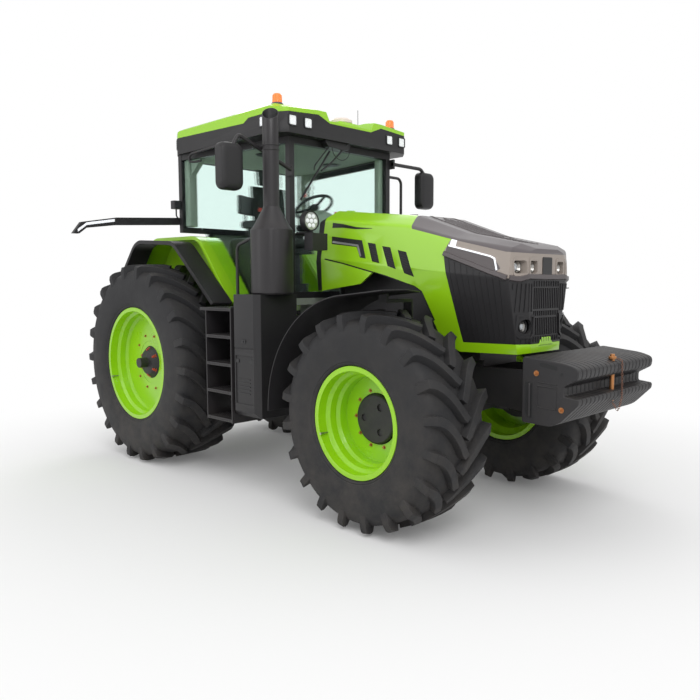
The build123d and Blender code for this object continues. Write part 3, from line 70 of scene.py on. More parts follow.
# %% [markdown]
# ## The camera
# A machine this size shows best to someone who stands a few metres off its front corner and looks
# with a mild wide-angle lens at eye height. The camera is turned with three plain angles (heading,
# pitch and roll), which are easier to read and to change than a matrix.

# %% Camera
CAMERA_AT = (4.952, -4.682, 1.771)
HEADING = math.radians(135.13)
PITCH = math.radians(-5.306)
ROLL = math.radians(-0.188)
LENS = 36.39


def put(name, data):
    """A new object in the scene."""
    item = bpy.data.objects.new(name, data)
    bpy.context.scene.collection.objects.link(item)
    return item


camera = put("camera", bpy.data.cameras.new("camera"))
camera.location = CAMERA_AT
camera.rotation_mode = "QUATERNION"
level = Euler((math.pi / 2 + PITCH, 0, HEADING - math.pi / 2)).to_quaternion()
camera.rotation_quaternion = level @ Quaternion((0, 0, 1), ROLL)
camera.data.lens = LENS
camera.data.sensor_width = 36
camera.data.clip_end = 200
bpy.context.scene.camera = camera
bpy.context.scene.view_settings.view_transform = "Standard"
print("camera", tuple(camera.location))

# %% [markdown]
# ## A pale studio
# The floor keeps the tractor's soft shadow, and everything else is white. White paint alone would
# need a lot of light, which would wash out the machine, so the floor adds a little light of its own
# for what the camera, a mirror or a window sees (Light Path tells those rays apart), and turns fully
# white some metres away. The world does the same: white to look at, also through a window, but a soft
# sky as a light.

# %% Shader helpers
def new_material(name):
    """An empty node material, with its tree."""
    material = bpy.data.materials.new(name)
    material.use_nodes = True
    material.node_tree.nodes.clear()
    print("material", name)
    return material, material.node_tree


def add_node(tree, kind, inputs=None, **settings):
    """A node with settings, and input values or links by socket name or number."""
    node = tree.nodes.new(kind)
    for key, value in settings.items():
        setattr(node, key, value)
    for key, value in (inputs or {}).items():
        if isinstance(value, bpy.types.NodeSocket):
            tree.links.new(value, node.inputs[key])
        else:
            node.inputs[key].default_value = value
    return node


def maths(tree, operation, *values):
    """A Math node on sockets or numbers; returns its output."""
    return add_node(tree, "ShaderNodeMath", dict(enumerate(values)), operation=operation).outputs[0]


def seen_directly(tree, *kinds):
    """1 for rays from the camera or of the given kinds, and 0 for rays that light things."""
    path = add_node(tree, "ShaderNodeLightPath")
    seen = path.outputs["Is Camera Ray"]
    for kind in kinds:
        seen = maths(tree, "MAXIMUM", seen, path.outputs[kind])
    return seen


# %% Floor
FLOOR_HALF = 60.0
FLOOR_SHADE = 0.7
FLOOR_GLOW = 0.1
SHADOW_REACH = (2.5, 5.6)      # metres from the middle over which the floor fades to white
WHITE = (1, 1, 1, 1)

floor_paint, tree = new_material("studio_floor")
place = add_node(tree, "ShaderNodeTexCoord")
away = add_node(tree, "ShaderNodeVectorMath", {0: place.outputs["Object"]}, operation="LENGTH")
fade = add_node(tree, "ShaderNodeMapRange", {0: away.outputs["Value"], 1: SHADOW_REACH[0],
                                             2: SHADOW_REACH[1]}, interpolation_type="SMOOTHSTEP")
direct = seen_directly(tree, "Is Glossy Ray", "Is Transmission Ray")
matt = add_node(tree, "ShaderNodeBsdfDiffuse", {"Color": (FLOOR_SHADE,) * 3 + (1,)})
glow = add_node(tree, "ShaderNodeEmission", {"Color": WHITE,
                                             "Strength": maths(tree, "MULTIPLY", direct, FLOOR_GLOW)})
near = add_node(tree, "ShaderNodeAddShader", {0: matt.outputs[0], 1: glow.outputs[0]})
white = add_node(tree, "ShaderNodeEmission", {"Color": WHITE, "Strength": 1.0})
mixed = add_node(tree, "ShaderNodeMixShader", {0: maths(tree, "MULTIPLY", fade.outputs[0], direct),
                                               1: near.outputs[0], 2: white.outputs[0]})
add_node(tree, "ShaderNodeOutputMaterial", {"Surface": mixed.outputs[0]})

floor_mesh = bpy.data.meshes.new("studio_floor")
floor_mesh.from_pydata([(x * FLOOR_HALF, y * FLOOR_HALF, 0) for x, y in ((-1, -1), (1, -1), (1, 1), (-1, 1))],
                       [], [(0, 1, 2, 3)])
floor_mesh.materials.append(floor_paint)
put("studio_floor", floor_mesh)
print("floor", 2 * FLOOR_HALF, "m square")

# %% World and lamps
SKY = ((0.0, 0.42), (0.45, 0.62), (0.75, 1.0), (1.0, 1.0))   # height share, brightness
SKY_STRENGTH = 0.95

world = bpy.data.worlds.new("studio")
bpy.context.scene.world = world
world.use_nodes = True
tree = world.node_tree
tree.nodes.clear()
ray = add_node(tree, "ShaderNodeTexCoord")
split = add_node(tree, "ShaderNodeSeparateXYZ", {0: ray.outputs["Generated"]})
height = add_node(tree, "ShaderNodeMapRange", {0: split.outputs["Z"], 1: -1.0, 2: 1.0})
ramp = add_node(tree, "ShaderNodeValToRGB", {0: height.outputs[0]})
stops = ramp.color_ramp.elements
stops[0].position, stops[-1].position = SKY[0][0], SKY[-1][0]
for position, shade in SKY[1:-1]:
    stops.new(position)
for stop, (position, shade) in zip(stops, SKY):
    stop.color = (shade,) * 3 + (1,)
sky = add_node(tree, "ShaderNodeBackground", {"Color": ramp.outputs[0], "Strength": SKY_STRENGTH})
clean = add_node(tree, "ShaderNodeBackground", {"Color": WHITE, "Strength": 1.0})
pick = add_node(tree, "ShaderNodeMixShader", {0: seen_directly(tree, "Is Transmission Ray"),
                                              1: sky.outputs[0], 2: clean.outputs[0]})
add_node(tree, "ShaderNodeOutputWorld", {"Surface": pick.outputs[0]})

# columns: name, place, size, watts, aimed at
LAMPS = (
    ("key_light", (7.5, -5.5, 8.5), 6.0, 420, (0.6, 0, 1.2)),
    ("fill_light", (-3.5, -9.5, 5.0), 7.0, 160, (-0.8, 0, 1.4)),
    ("rim_light", (-6.0, 5.5, 7.5), 5.0, 170, (0, 0, 1.8)),
)
for name, at, size, watts, target in LAMPS:
    lamp = put(name, bpy.data.lights.new(name, "AREA"))
    lamp.data.shape = "DISK"
    lamp.data.size = size
    lamp.data.energy = watts
    lamp.location = at
    lamp.rotation_mode = "QUATERNION"
    lamp.rotation_quaternion = (Vector(target) - Vector(at)).to_track_quat("-Z", "Y")
print("lamps", len(LAMPS))

# %% [markdown]
# ## Shared surface effects
# Paint, rubber and moulded plastic differ in colour and gloss, but they share small effects: a fine
# grain that breaks the reflection, slow changes of tone over a panel, and road dust that settles low
# down and on faces that look up. Each effect is a node group with named inputs, built once. A group
# hands out only colours and values. The Principled shader stays in each material, where its constant
# numbers are set on its own sockets.

# %% Group helper
def colour(red, green, blue):
    """A colour from 0-255 screen values."""
    return tuple(v / 12.92 if v <= 0.04045 else ((v + 0.055) / 1.055) ** 2.4
                 for v in (red / 255, green / 255, blue / 255)) + (1.0,)


MID_GREY = (0.5, 0.5, 0.5, 1)


def new_group(name, inputs, outputs):
    """A shader node group with named sockets; returns the tree, its input node and its output node."""
    print("group", name, "takes", ", ".join(inputs), "and gives", ", ".join(outputs))
    tree = bpy.data.node_groups.new(name, "ShaderNodeTree")
    for label, value in inputs.items():
        kind = "NodeSocketFloat" if isinstance(value, float) else "NodeSocketColor"
        tree.interface.new_socket(label, in_out="INPUT", socket_type=kind).default_value = value
    for label, kind in outputs.items():
        tree.interface.new_socket(label, in_out="OUTPUT", socket_type="NodeSocket" + kind)
    return tree, tree.nodes.new("NodeGroupInput"), tree.nodes.new("NodeGroupOutput")


def use_group(tree, name, inputs):
    """Places a group in a material with its own values."""
    return add_node(tree, "ShaderNodeGroup", inputs, node_tree=bpy.data.node_groups[name])


def noise(tree, place, scale, **inputs):
    """Noise over the object's own coordinates."""
    return add_node(tree, "ShaderNodeTexNoise", {"Vector": place.outputs["Object"], "Scale": scale, **inputs})


# %% Grain: pebbles of a mould texture over a soft unevenness
tree, given, out = new_group("surface_grain", {"Pebble Scale": 600.0, "Pebbles": 0.5, "Wave Scale": 20.0,
                                               "Waves": 0.3}, {"Height": "Float"})
place = add_node(tree, "ShaderNodeTexCoord")
pebbles = add_node(tree, "ShaderNodeTexVoronoi", {"Vector": place.outputs["Object"],
                                                  "Scale": given.outputs["Pebble Scale"]},
                   feature="SMOOTH_F1")
waves = noise(tree, place, given.outputs["Wave Scale"], Detail=3.0)
fine = maths(tree, "MULTIPLY", pebbles.outputs["Distance"], given.outputs["Pebbles"])
slow = maths(tree, "MULTIPLY", waves.outputs["Fac"], given.outputs["Waves"])
tree.links.new(maths(tree, "ADD", fine, slow), out.inputs["Height"])

# %% Tone: a colour that wanders slowly between a darker and a lighter shade
tree, given, out = new_group("tone_drift", {"Color": MID_GREY, "Scale": 3.0, "Amount": 0.1},
                             {"Color": "Color", "Mask": "Float"})
place = add_node(tree, "ShaderNodeTexCoord")
cloud = noise(tree, place, given.outputs["Scale"], Detail=5.0, Roughness=0.6)
swing = maths(tree, "MULTIPLY", maths(tree, "SUBTRACT", cloud.outputs["Fac"], 0.5), given.outputs["Amount"])
scaled = add_node(tree, "ShaderNodeVectorMath", {0: given.outputs["Color"],
                                                 "Scale": maths(tree, "ADD", swing, 1.0)},
                  operation="SCALE")
tree.links.new(scaled.outputs[0], out.inputs["Color"])
tree.links.new(cloud.outputs["Fac"], out.inputs["Mask"])

# %% Dust: a film that thickens towards the ground and on faces that look up
tree, given, out = new_group("road_dust", {"Color": MID_GREY, "Dust": colour(148, 136, 122), "Amount": 0.3,
                                           "Fades At": 1.2, "Patches": 6.0},
                             {"Color": "Color", "Mask": "Float"})
place = add_node(tree, "ShaderNodeTexCoord")
split = add_node(tree, "ShaderNodeSeparateXYZ", {0: place.outputs["Object"]})
low = add_node(tree, "ShaderNodeMapRange", {0: split.outputs["Z"], 1: 0.0, 2: given.outputs["Fades At"],
                                            3: 1.0, 4: 0.0})
facing = add_node(tree, "ShaderNodeNewGeometry")
tilt = add_node(tree, "ShaderNodeSeparateXYZ", {0: facing.outputs["Normal"]})
up = add_node(tree, "ShaderNodeMapRange", {0: tilt.outputs["Z"], 1: 0.3, 2: 1.0, 3: 0.0, 4: 0.7})
patch = noise(tree, place, given.outputs["Patches"], Detail=6.0, Roughness=0.7)
patchy = add_node(tree, "ShaderNodeMapRange", {0: patch.outputs["Fac"], 1: 0.35, 2: 0.7})
where = maths(tree, "MAXIMUM", low.outputs[0], up.outputs[0])
mask = maths(tree, "MULTIPLY", maths(tree, "MULTIPLY", where, patchy.outputs[0]), given.outputs["Amount"])
mixed = add_node(tree, "ShaderNodeMix", {0: mask, 6: given.outputs["Color"], 7: given.outputs["Dust"]},
                 data_type="RGBA")
tree.links.new(mixed.outputs[2], out.inputs["Color"])
tree.links.new(mask, out.inputs["Mask"])

# %% [markdown]
# ## The finishes
# Most surfaces of the tractor are one of a few finishes: gloss lime paint over sheet and plastic,
# satin black paint on steel, and grained dark plastic. They are close relatives, so one function
# builds them from a few numbers, and only the special ones (lenses, glass, lit strips) have their own.

# %% Painted and moulded finishes
GLOSS_SWING = 0.06             # how far a roughness wanders either way


def finish_material(name, shade, roughness, metallic=0.0, drift=0.08, drift_scale=2.5, pebble=500.0,
                    pebbles=0.2, waves=0.25, wave_scale=14.0, bump=0.1, depth=0.001, dust=0.1,
                    dust_top=1.3, coat=0.0, coat_roughness=0.1, specular=0.5):
    """A Principled material made of the shared groups."""
    material, tree = new_material(name)
    tone = use_group(tree, "tone_drift", {"Color": shade, "Scale": drift_scale, "Amount": drift})
    film = use_group(tree, "road_dust", {"Color": tone.outputs["Color"], "Amount": dust,
                                         "Fades At": dust_top})
    rough = add_node(tree, "ShaderNodeMapRange", {0: tone.outputs["Mask"], 1: 0.3, 2: 0.7,
                                                  3: roughness - GLOSS_SWING,
                                                  4: roughness + GLOSS_SWING})
    grain = use_group(tree, "surface_grain", {"Pebble Scale": pebble, "Pebbles": pebbles,
                                              "Wave Scale": wave_scale, "Waves": waves})
    relief = add_node(tree, "ShaderNodeBump", {"Strength": bump, "Distance": depth,
                                               "Height": grain.outputs["Height"]})
    shader = add_node(tree, "ShaderNodeBsdfPrincipled",
                      {"Base Color": film.outputs["Color"], "Roughness": rough.outputs[0],
                       "Metallic": metallic, "Coat Weight": coat, "Coat Roughness": coat_roughness,
                       "Specular IOR Level": specular, "Normal": relief.outputs[0]})
    add_node(tree, "ShaderNodeOutputMaterial", {"Surface": shader.outputs[0]})
    return material


paint = {
    "green_paint": finish_material("lime_paint", colour(150, 207, 16), 0.34, drift=0.03, pebble=180,
                                   pebbles=0.1, waves=0.5, wave_scale=30, bump=0.04, dust=0.03,
                                   coat=0.55, coat_roughness=0.12),
    "rim_paint": finish_material("lime_rim_paint", colour(146, 204, 12), 0.3, drift=0.04, pebble=200,
                                 bump=0.04, dust=0.05, dust_top=0.8, coat=0.4, coat_roughness=0.18),
    "tyre": finish_material("tyre_rubber", colour(35, 35, 37), 0.66, drift=0.3, drift_scale=9,
                            pebble=260, pebbles=0.5, waves=0.8, wave_scale=24, bump=0.35, depth=0.002,
                            dust=0.12, dust_top=1.6, specular=0.4),
    "black_steel": finish_material("satin_black_paint", colour(40, 38, 40), 0.42, drift=0.08, pebble=700,
                                   pebbles=0.35, bump=0.12, dust=0.08, specular=0.45),
    "cast_black": finish_material("cast_iron_paint", colour(36, 35, 37), 0.5, drift=0.12, pebble=300,
                                  pebbles=0.6, waves=0.6, wave_scale=40, bump=0.3, dust=0.12,
                                  specular=0.45),
    "dark_plastic": finish_material("grained_dark_plastic", colour(33, 32, 34), 0.48, drift=0.05,
                                    pebble=800, pebbles=0.7, bump=0.22, dust=0.05, specular=0.45),
    "grey_plastic": finish_material("hood_grey_paint", colour(92, 86, 88), 0.34, drift=0.03, pebble=240,
                                    bump=0.05, dust=0.06, coat=0.25, coat_roughness=0.2),
    "taupe_plastic": finish_material("lamp_bezel_taupe", colour(150, 140, 132), 0.38, drift=0.03,
                                     pebble=600, bump=0.08, dust=0.03, coat=0.1),
    "cab_lining": finish_material("headliner", colour(134, 142, 130), 0.8, drift=0.06, pebble=900,
                                  pebbles=0.8, bump=0.3, dust=0.0),
    "seat_cloth": finish_material("seat_cloth", colour(58, 60, 58), 0.9, drift=0.1, pebble=1400,
                                  pebbles=1.0, bump=0.5, dust=0.0),
    "steel": finish_material("bright_steel", colour(176, 174, 170), 0.34, metallic=1.0, drift=0.12,
                             drift_scale=12, bump=0.08, dust=0.02),
    "pin_steel": finish_material("zinc_gold", colour(184, 128, 82), 0.42, metallic=0.85, drift=0.35,
                                 drift_scale=30, bump=0.15, dust=0.02),
}

# %% Lenses, windows and light guides
def clear_material(name, shade, roughness, alpha, ior=1.45, transmission=1.0, waves=0.15):
    """See-through plastic or glass, with a trace of unevenness."""
    material, tree = new_material(name)
    grain = use_group(tree, "surface_grain", {"Pebble Scale": 90.0, "Pebbles": 0.0, "Wave Scale": 5.0,
                                              "Waves": waves})
    relief = add_node(tree, "ShaderNodeBump", {"Strength": 0.05, "Distance": 0.002,
                                               "Height": grain.outputs["Height"]})
    tone = use_group(tree, "tone_drift", {"Color": shade, "Scale": 1.5, "Amount": 0.05})
    shader = add_node(tree, "ShaderNodeBsdfPrincipled",
                      {"Base Color": tone.outputs["Color"], "Roughness": roughness, "IOR": ior,
                       "Transmission Weight": transmission, "Alpha": alpha, "Normal": relief.outputs[0]})
    add_node(tree, "ShaderNodeOutputMaterial", {"Surface": shader.outputs[0]})
    return material


def glow_material(name, shade, strength):
    """A lit light guide: pale plastic that shines a little."""
    material, tree = new_material(name)
    tone = use_group(tree, "tone_drift", {"Color": shade, "Scale": 20.0, "Amount": 0.04})
    shader = add_node(tree, "ShaderNodeBsdfPrincipled",
                      {"Base Color": tone.outputs["Color"], "Roughness": 0.25,
                       "Emission Color": tone.outputs["Color"], "Emission Strength": strength})
    add_node(tree, "ShaderNodeOutputMaterial", {"Surface": shader.outputs[0]})
    return material


paint["window"] = clear_material("tinted_glass", colour(222, 247, 240), 0.0, 0.5, ior=1.03, waves=0.0)
paint["amber"] = clear_material("amber_lens", colour(240, 120, 50), 0.25, 0.92, transmission=0.35)
paint["lamp"] = clear_material("lamp_lens", colour(232, 236, 240), 0.08, 0.9, transmission=0.35)

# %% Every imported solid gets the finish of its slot
slot_of = {part["node"]: part["material_slot"] for part in frame["record"]["subparts"]}
print("slots", sorted(set(slot_of.values())))
for node_name, piece in nodes.items():
    piece.data.materials.clear()
    piece.data.materials.append(paint[slot_of[node_name]])

# %% [markdown]
# ## Mesh helpers
# Almost every piece is made of a few kinds of form: a flat outline pushed through a depth, a profile
# turned about a line, a tube along a path, a rounded slab. Each helper adds one such form to an open
# bmesh, so a piece can hold several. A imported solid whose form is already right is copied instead: its
# loose triangles are merged, flat areas are joined into single faces, and its edges get a small bevel
# that catches the light, which bare CAD edges never do.

# %% Angles and places
AXES = {"x": (1, 2, 0), "y": (0, 2, 1), "z": (0, 1, 2)}   # where outline u, outline v and depth go


def turns(count, start=0.0):
    """Angles that divide a full turn."""
    return [start + 2 * math.pi * k / count for k in range(count)]


def both(side, a, b):
    """Two distances from the middle, on one side of it, the lower first."""
    return sorted((side * a, side * b))


def at_axes(axis, u, v, depth):
    """A point from outline coordinates and a depth along an axis."""
    point = [0.0, 0.0, 0.0]
    for place, value in zip(AXES[axis], (u, v, depth)):
        point[place] = value
    return Vector(point)


def placed(at, *steps):
    """A placement: a shift, then turns of (degrees, axis) inside it."""
    matrix = Matrix.Translation(at)
    for degrees, axis in steps:
        matrix = matrix @ Matrix.Rotation(math.radians(degrees), 4, axis)
    return matrix


print("outlines are pushed along", ", ".join(AXES))

# %% Skins, prisms and turned forms
def skin(bm, rings, closed=True, capped=True):
    """Faces between rings of points: closed by caps at the ends, or joined end to start."""
    rows = [[bm.verts.new(p) for p in ring] for ring in rings]
    count = len(rows[0])
    for a, b in list(zip(rows, rows[1:])) + ([] if closed else [(rows[-1], rows[0])]):
        for i in range(count):
            j = (i + 1) % count
            bm.faces.new((a[i], a[j], b[j], b[i]))
    if capped:
        bm.faces.new(rows[0][::-1])
        bm.faces.new(rows[-1])


def add_prism(bm, outline, axis, low, high):
    """An outline of (u, v) points pushed from low to high along an axis."""
    skin(bm, [[at_axes(axis, u, v, d) for u, v in outline] for d in (low, high)])


def add_lathe(bm, profile, centre, steps=64, axis="y"):
    """A closed profile of (depth, radius) points turned about an axis through centre."""
    skin(bm, [[Vector(centre) + at_axes(axis, r * math.cos(turn), r * math.sin(turn), d) for d, r in profile]
              for turn in turns(steps)], closed=False, capped=False)


print("forms: skin, prism, lathe")

# %% Soft corners and tubes
def soft_corner(a, corner, b, radius, steps):
    """Points that round the corner between a and b."""
    cut = min(radius, (a - corner).length * 0.48, (b - corner).length * 0.48)
    p, q = corner + (a - corner).normalized() * cut, corner + (b - corner).normalized() * cut
    return [p * (1 - t) ** 2 + corner * 2 * t * (1 - t) + q * t * t
            for t in (i / steps for i in range(steps + 1))]


def rounded(points, radius):
    """A polyline of (x, y, z) points with its inner corners rounded."""
    path = [Vector(p) for p in points]
    inner = [soft_corner(a, c, b, radius, 6) for a, c, b in zip(path, path[1:], path[2:])]
    return path[:1] + [p for corner in inner for p in corner] + path[-1:]


def soften(outline, radii):
    """An outline of (u, v) points with each corner rounded to its own radius."""
    points = [Vector(p) for p in outline]
    after = points[1:] + points[:1]
    return [tuple(p) for i, radius in enumerate(radii)
            for p in soft_corner(points[i - 1], points[i], after[i], radius, 5)]


def add_tube(bm, path, radius, sides=12):
    """A round bar along a path of points, as thick in its bends as in its straights."""
    path = [Vector(p) for p in path]
    along = [(b - a).normalized() for a, b in zip(path, path[1:])]
    across = along[0].orthogonal().normalized()
    rings = []
    for i, point in enumerate(path):
        ahead = along[min(i, len(along) - 1)]
        mean = (ahead + along[max(i - 1, 0)]).normalized()
        across = (across - mean * across.dot(mean)).normalized()
        side = mean.cross(across)
        reach = radius / max(mean.dot(ahead), 0.5) if 0 < i < len(path) - 1 else radius
        rings.append([point + (across * math.cos(a) + side * math.sin(a)) * reach for a in turns(sides)])
    skin(bm, rings)


print("a path of 3 points becomes", len(rounded([(0, 0, 0), (1, 0, 0), (1, 1, 0)], 0.1)))

# %% Outlines and slabs
def round_outline(low, high, radius, steps=5):
    """A rectangle of (u, v) points with round corners."""
    left, right, base, top = low[0] + radius, high[0] - radius, low[1] + radius, high[1] - radius
    points = []
    for corner, (u, v) in enumerate(((right, top), (left, top), (left, base), (right, base))):
        for i in range(steps + 1):
            a = math.pi / 2 * (corner + i / steps)
            points.append((u + radius * math.cos(a), v + radius * math.sin(a)))
    return points


def add_slab(bm, low, high, radius, axis, near, far):
    """A rectangle with round corners, pushed through a depth."""
    add_prism(bm, round_outline(low, high, radius), axis, near, far)


def circle(centre, radius, steps=32):
    """A round outline of (u, v) points."""
    return [(centre[0] + radius * math.cos(a), centre[1] + radius * math.sin(a)) for a in turns(steps)]


print("a slab's outline has", len(round_outline((0, 0), (1, 1), 0.1)), "points")

# %% From a form to a mesh
DOUBLES = 1e-5                 # corners closer than this are one


def new_forms(count):
    """Some open bmeshes."""
    return [bmesh.new() for i in range(count)]


def as_mesh(bm):
    """A mesh of a bmesh, with its doubles merged and its faces turned outwards."""
    bmesh.ops.remove_doubles(bm, verts=bm.verts, dist=DOUBLES)
    bmesh.ops.recalc_face_normals(bm, faces=bm.faces)
    mesh = bpy.data.meshes.new("form")
    bm.to_mesh(mesh)
    bm.free()
    return mesh


def add_placed(bm, mesh, place):
    """Adds a copy of a mesh at a placement."""
    copy = mesh.copy()
    copy.transform(place)
    bm.from_mesh(copy)
    bpy.data.meshes.remove(copy)


print("corners merge within", DOUBLES, "m")

# %% From a mesh to a finished piece
SHARP = math.radians(32)       # edges that turn more than this stay sharp
made = []                      # names of the finished pieces


def finish_piece(form, name, body, slot, bevel=0.0, stands_for=(), material=None, segments=2):
    """A bmesh or mesh becomes a piece: bevel, smooth shading with sharp corners, body, slot and the
    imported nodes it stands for."""
    mesh = as_mesh(form) if isinstance(form, bmesh.types.BMesh) else form
    mesh.name = name
    mesh.materials.clear()
    mesh.materials.append(material or paint[slot])
    mesh.shade_smooth()
    mesh.set_sharp_from_angle(angle=SHARP)
    piece = put(name, mesh)
    if bevel:
        edges = piece.modifiers.new("edges", "BEVEL")
        edges.width, edges.segments = bevel, segments
        edges.limit_method, edges.angle_limit = "ANGLE", SHARP
        edges.harden_normals = True
    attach(piece, body)
    if stands_for:
        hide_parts(*stands_for)
    made.append(name)
    print(name, len(mesh.polygons), "faces", "bevel", bevel)
    return piece


def refined(node_name, bevel=0.003, extra=None, slot=None, material=None, segments=2):
    """A merged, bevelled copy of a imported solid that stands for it; extra(bm) may change its form."""
    source = nodes[node_name]
    bm = bmesh.new()
    bm.from_mesh(source.data)
    bmesh.ops.remove_doubles(bm, verts=bm.verts, dist=2 * DOUBLES)
    bmesh.ops.dissolve_limit(bm, angle_limit=math.radians(1.0), verts=bm.verts, edges=bm.edges)
    if extra:
        extra(bm)
    mesh = bpy.data.meshes.new(node_name)
    bm.to_mesh(mesh)
    bm.free()
    return finish_piece(mesh, node_name + "_look", source["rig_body"], slot or slot_of[node_name], bevel,
                        (node_name,), material, segments)


# %% [markdown]
# ## What repeats
# Lugs, bolts, ribs and perforations repeat in a ring or a grid. Two small Geometry Nodes trees place
# copies of a first one: a tree is easier to reread than nested loops, and its counts stay numbers
# that can be turned up or down. The copies are realised, because the export drops instances.

# %% Ring and grid trees
def new_tree(name, **inputs):
    """A Geometry Nodes tree that ends in Realize Instances and Set Material; returns its parts."""
    tree = bpy.data.node_groups.new(name, "GeometryNodeTree")
    tree.interface.new_socket("Geometry", in_out="INPUT", socket_type="NodeSocketGeometry")
    for label, kind in {**inputs, "Material": "Material"}.items():
        tree.interface.new_socket(label, in_out="INPUT", socket_type="NodeSocket" + kind)
    tree.interface.new_socket("Geometry", in_out="OUTPUT", socket_type="NodeSocketGeometry")
    given = tree.nodes.new("NodeGroupInput").outputs
    place = add_node(tree, "GeometryNodeInstanceOnPoints")
    real = add_node(tree, "GeometryNodeRealizeInstances", {0: place.outputs[0]})
    painted = add_node(tree, "GeometryNodeSetMaterial", {"Geometry": real.outputs[0],
                                                        "Material": given["Material"]})
    out = tree.nodes.new("NodeGroupOutput")
    tree.links.new(painted.outputs[0], out.inputs[0])
    return tree, given, place.inputs


def scaled_by(tree, vector, factor):
    """A vector times a number."""
    return add_node(tree, "ShaderNodeVectorMath", {0: vector, "Scale": factor}, operation="SCALE").outputs[0]


# ring: the first copy turned about the Y line through Centre
ring_tree, given, place = new_tree("ring_of", Count="Int", Start="Float", Centre="Vector")
points = add_node(ring_tree, "GeometryNodePoints", {"Count": given["Count"], "Position": given["Centre"]})
first = add_node(ring_tree, "GeometryNodeTransform",
                 {"Geometry": given["Geometry"], "Translation": scaled_by(ring_tree, given["Centre"], -1.0)})
index = add_node(ring_tree, "GeometryNodeInputIndex")
share = maths(ring_tree, "DIVIDE", index.outputs[0], given["Count"])
angle = maths(ring_tree, "MULTIPLY_ADD", share, 2 * math.pi, given["Start"])
turn = add_node(ring_tree, "ShaderNodeCombineXYZ", {"Y": angle})
for key, node in (("Points", points), ("Instance", first), ("Rotation", turn)):
    ring_tree.links.new(node.outputs[0], place[key])

# grid: Across copies a Step apart, in Rows a Rise apart
grid_tree, given, place = new_tree("grid_of", Across="Int", Step="Vector", Rows="Int", Rise="Vector")
total = maths(grid_tree, "MULTIPLY", given["Across"], given["Rows"])
index = add_node(grid_tree, "GeometryNodeInputIndex").outputs[0]
column = maths(grid_tree, "MODULO", index, given["Across"])
row = maths(grid_tree, "FLOOR", maths(grid_tree, "DIVIDE", index, given["Across"]))
spot = add_node(grid_tree, "ShaderNodeVectorMath", {0: scaled_by(grid_tree, given["Step"], column),
                                                    1: scaled_by(grid_tree, given["Rise"], row)},
                operation="ADD")
points = add_node(grid_tree, "GeometryNodePoints", {"Count": total, "Position": spot.outputs[0]})
grid_tree.links.new(points.outputs[0], place["Points"])
grid_tree.links.new(given["Geometry"], place["Instance"])


def repeated(first_form, tree, material, **values):
    """The plain mesh that a tree makes of a first copy; the modifier is gone afterwards."""
    holder = put("repeat", as_mesh(first_form))
    modifier = holder.modifiers.new("repeat", "NODES")
    modifier.node_group = tree
    values["Material"] = material
    for socket in tree.interface.items_tree:
        if socket.in_out == "INPUT" and socket.name in values:
            modifier[socket.identifier] = values[socket.name]
    seen = bpy.context.evaluated_depsgraph_get()
    mesh = bpy.data.meshes.new_from_object(holder.evaluated_get(seen))
    bpy.data.objects.remove(holder)
    return mesh


print("trees", ring_tree.name, grid_tree.name)

# %% [markdown]
# ## Tyres
# A tractor tyre is a plain round carcass with tall rubber bars, the lugs. Each lug starts low on the
# shoulder, runs across the tread and bends forward to the middle, so that it digs in and throws mud
# out sideways. The carcass is one profile turned about the axle. One lug of each side is lofted along
# its bent path, with flanks that lean out towards the foot, and the ring tree repeats it.

# %% Lug and carcass
LUG_STEPS = 12
LUG_H = 48
LEAN = 14                      # how far a lug's foot stands out past its top, each side
CROWN = 10                     # drop of the tread from its middle to its shoulder
OVER_MIDDLE = 14               # a lug's middle end lies this far past the tread's middle
# columns: end, axle x, tyre radius, half width, lugs a side, lug top width, lead of the middle end,
# reach down the side wall, rim flange radius, rim half width, wheel |y|
TYRES = (
    ("front", FRONT, 795, 300, 20, 55, 285, 95, 406.5, 270, 930),
    ("rear", REAR, 990, 358, 22, 60, 330, 110, 559.0, 318, 921),
)


def read_table(table, t):
    """Straight-line reading of a table of (t, value, value ...) rows."""
    for a, b in zip(table, table[1:]):
        if t <= b[0]:
            k = (t - a[0]) / (b[0] - a[0])
            return [p + (q - p) * k for p, q in zip(a[1:], b[1:])]
    return list(table[-1][1:])


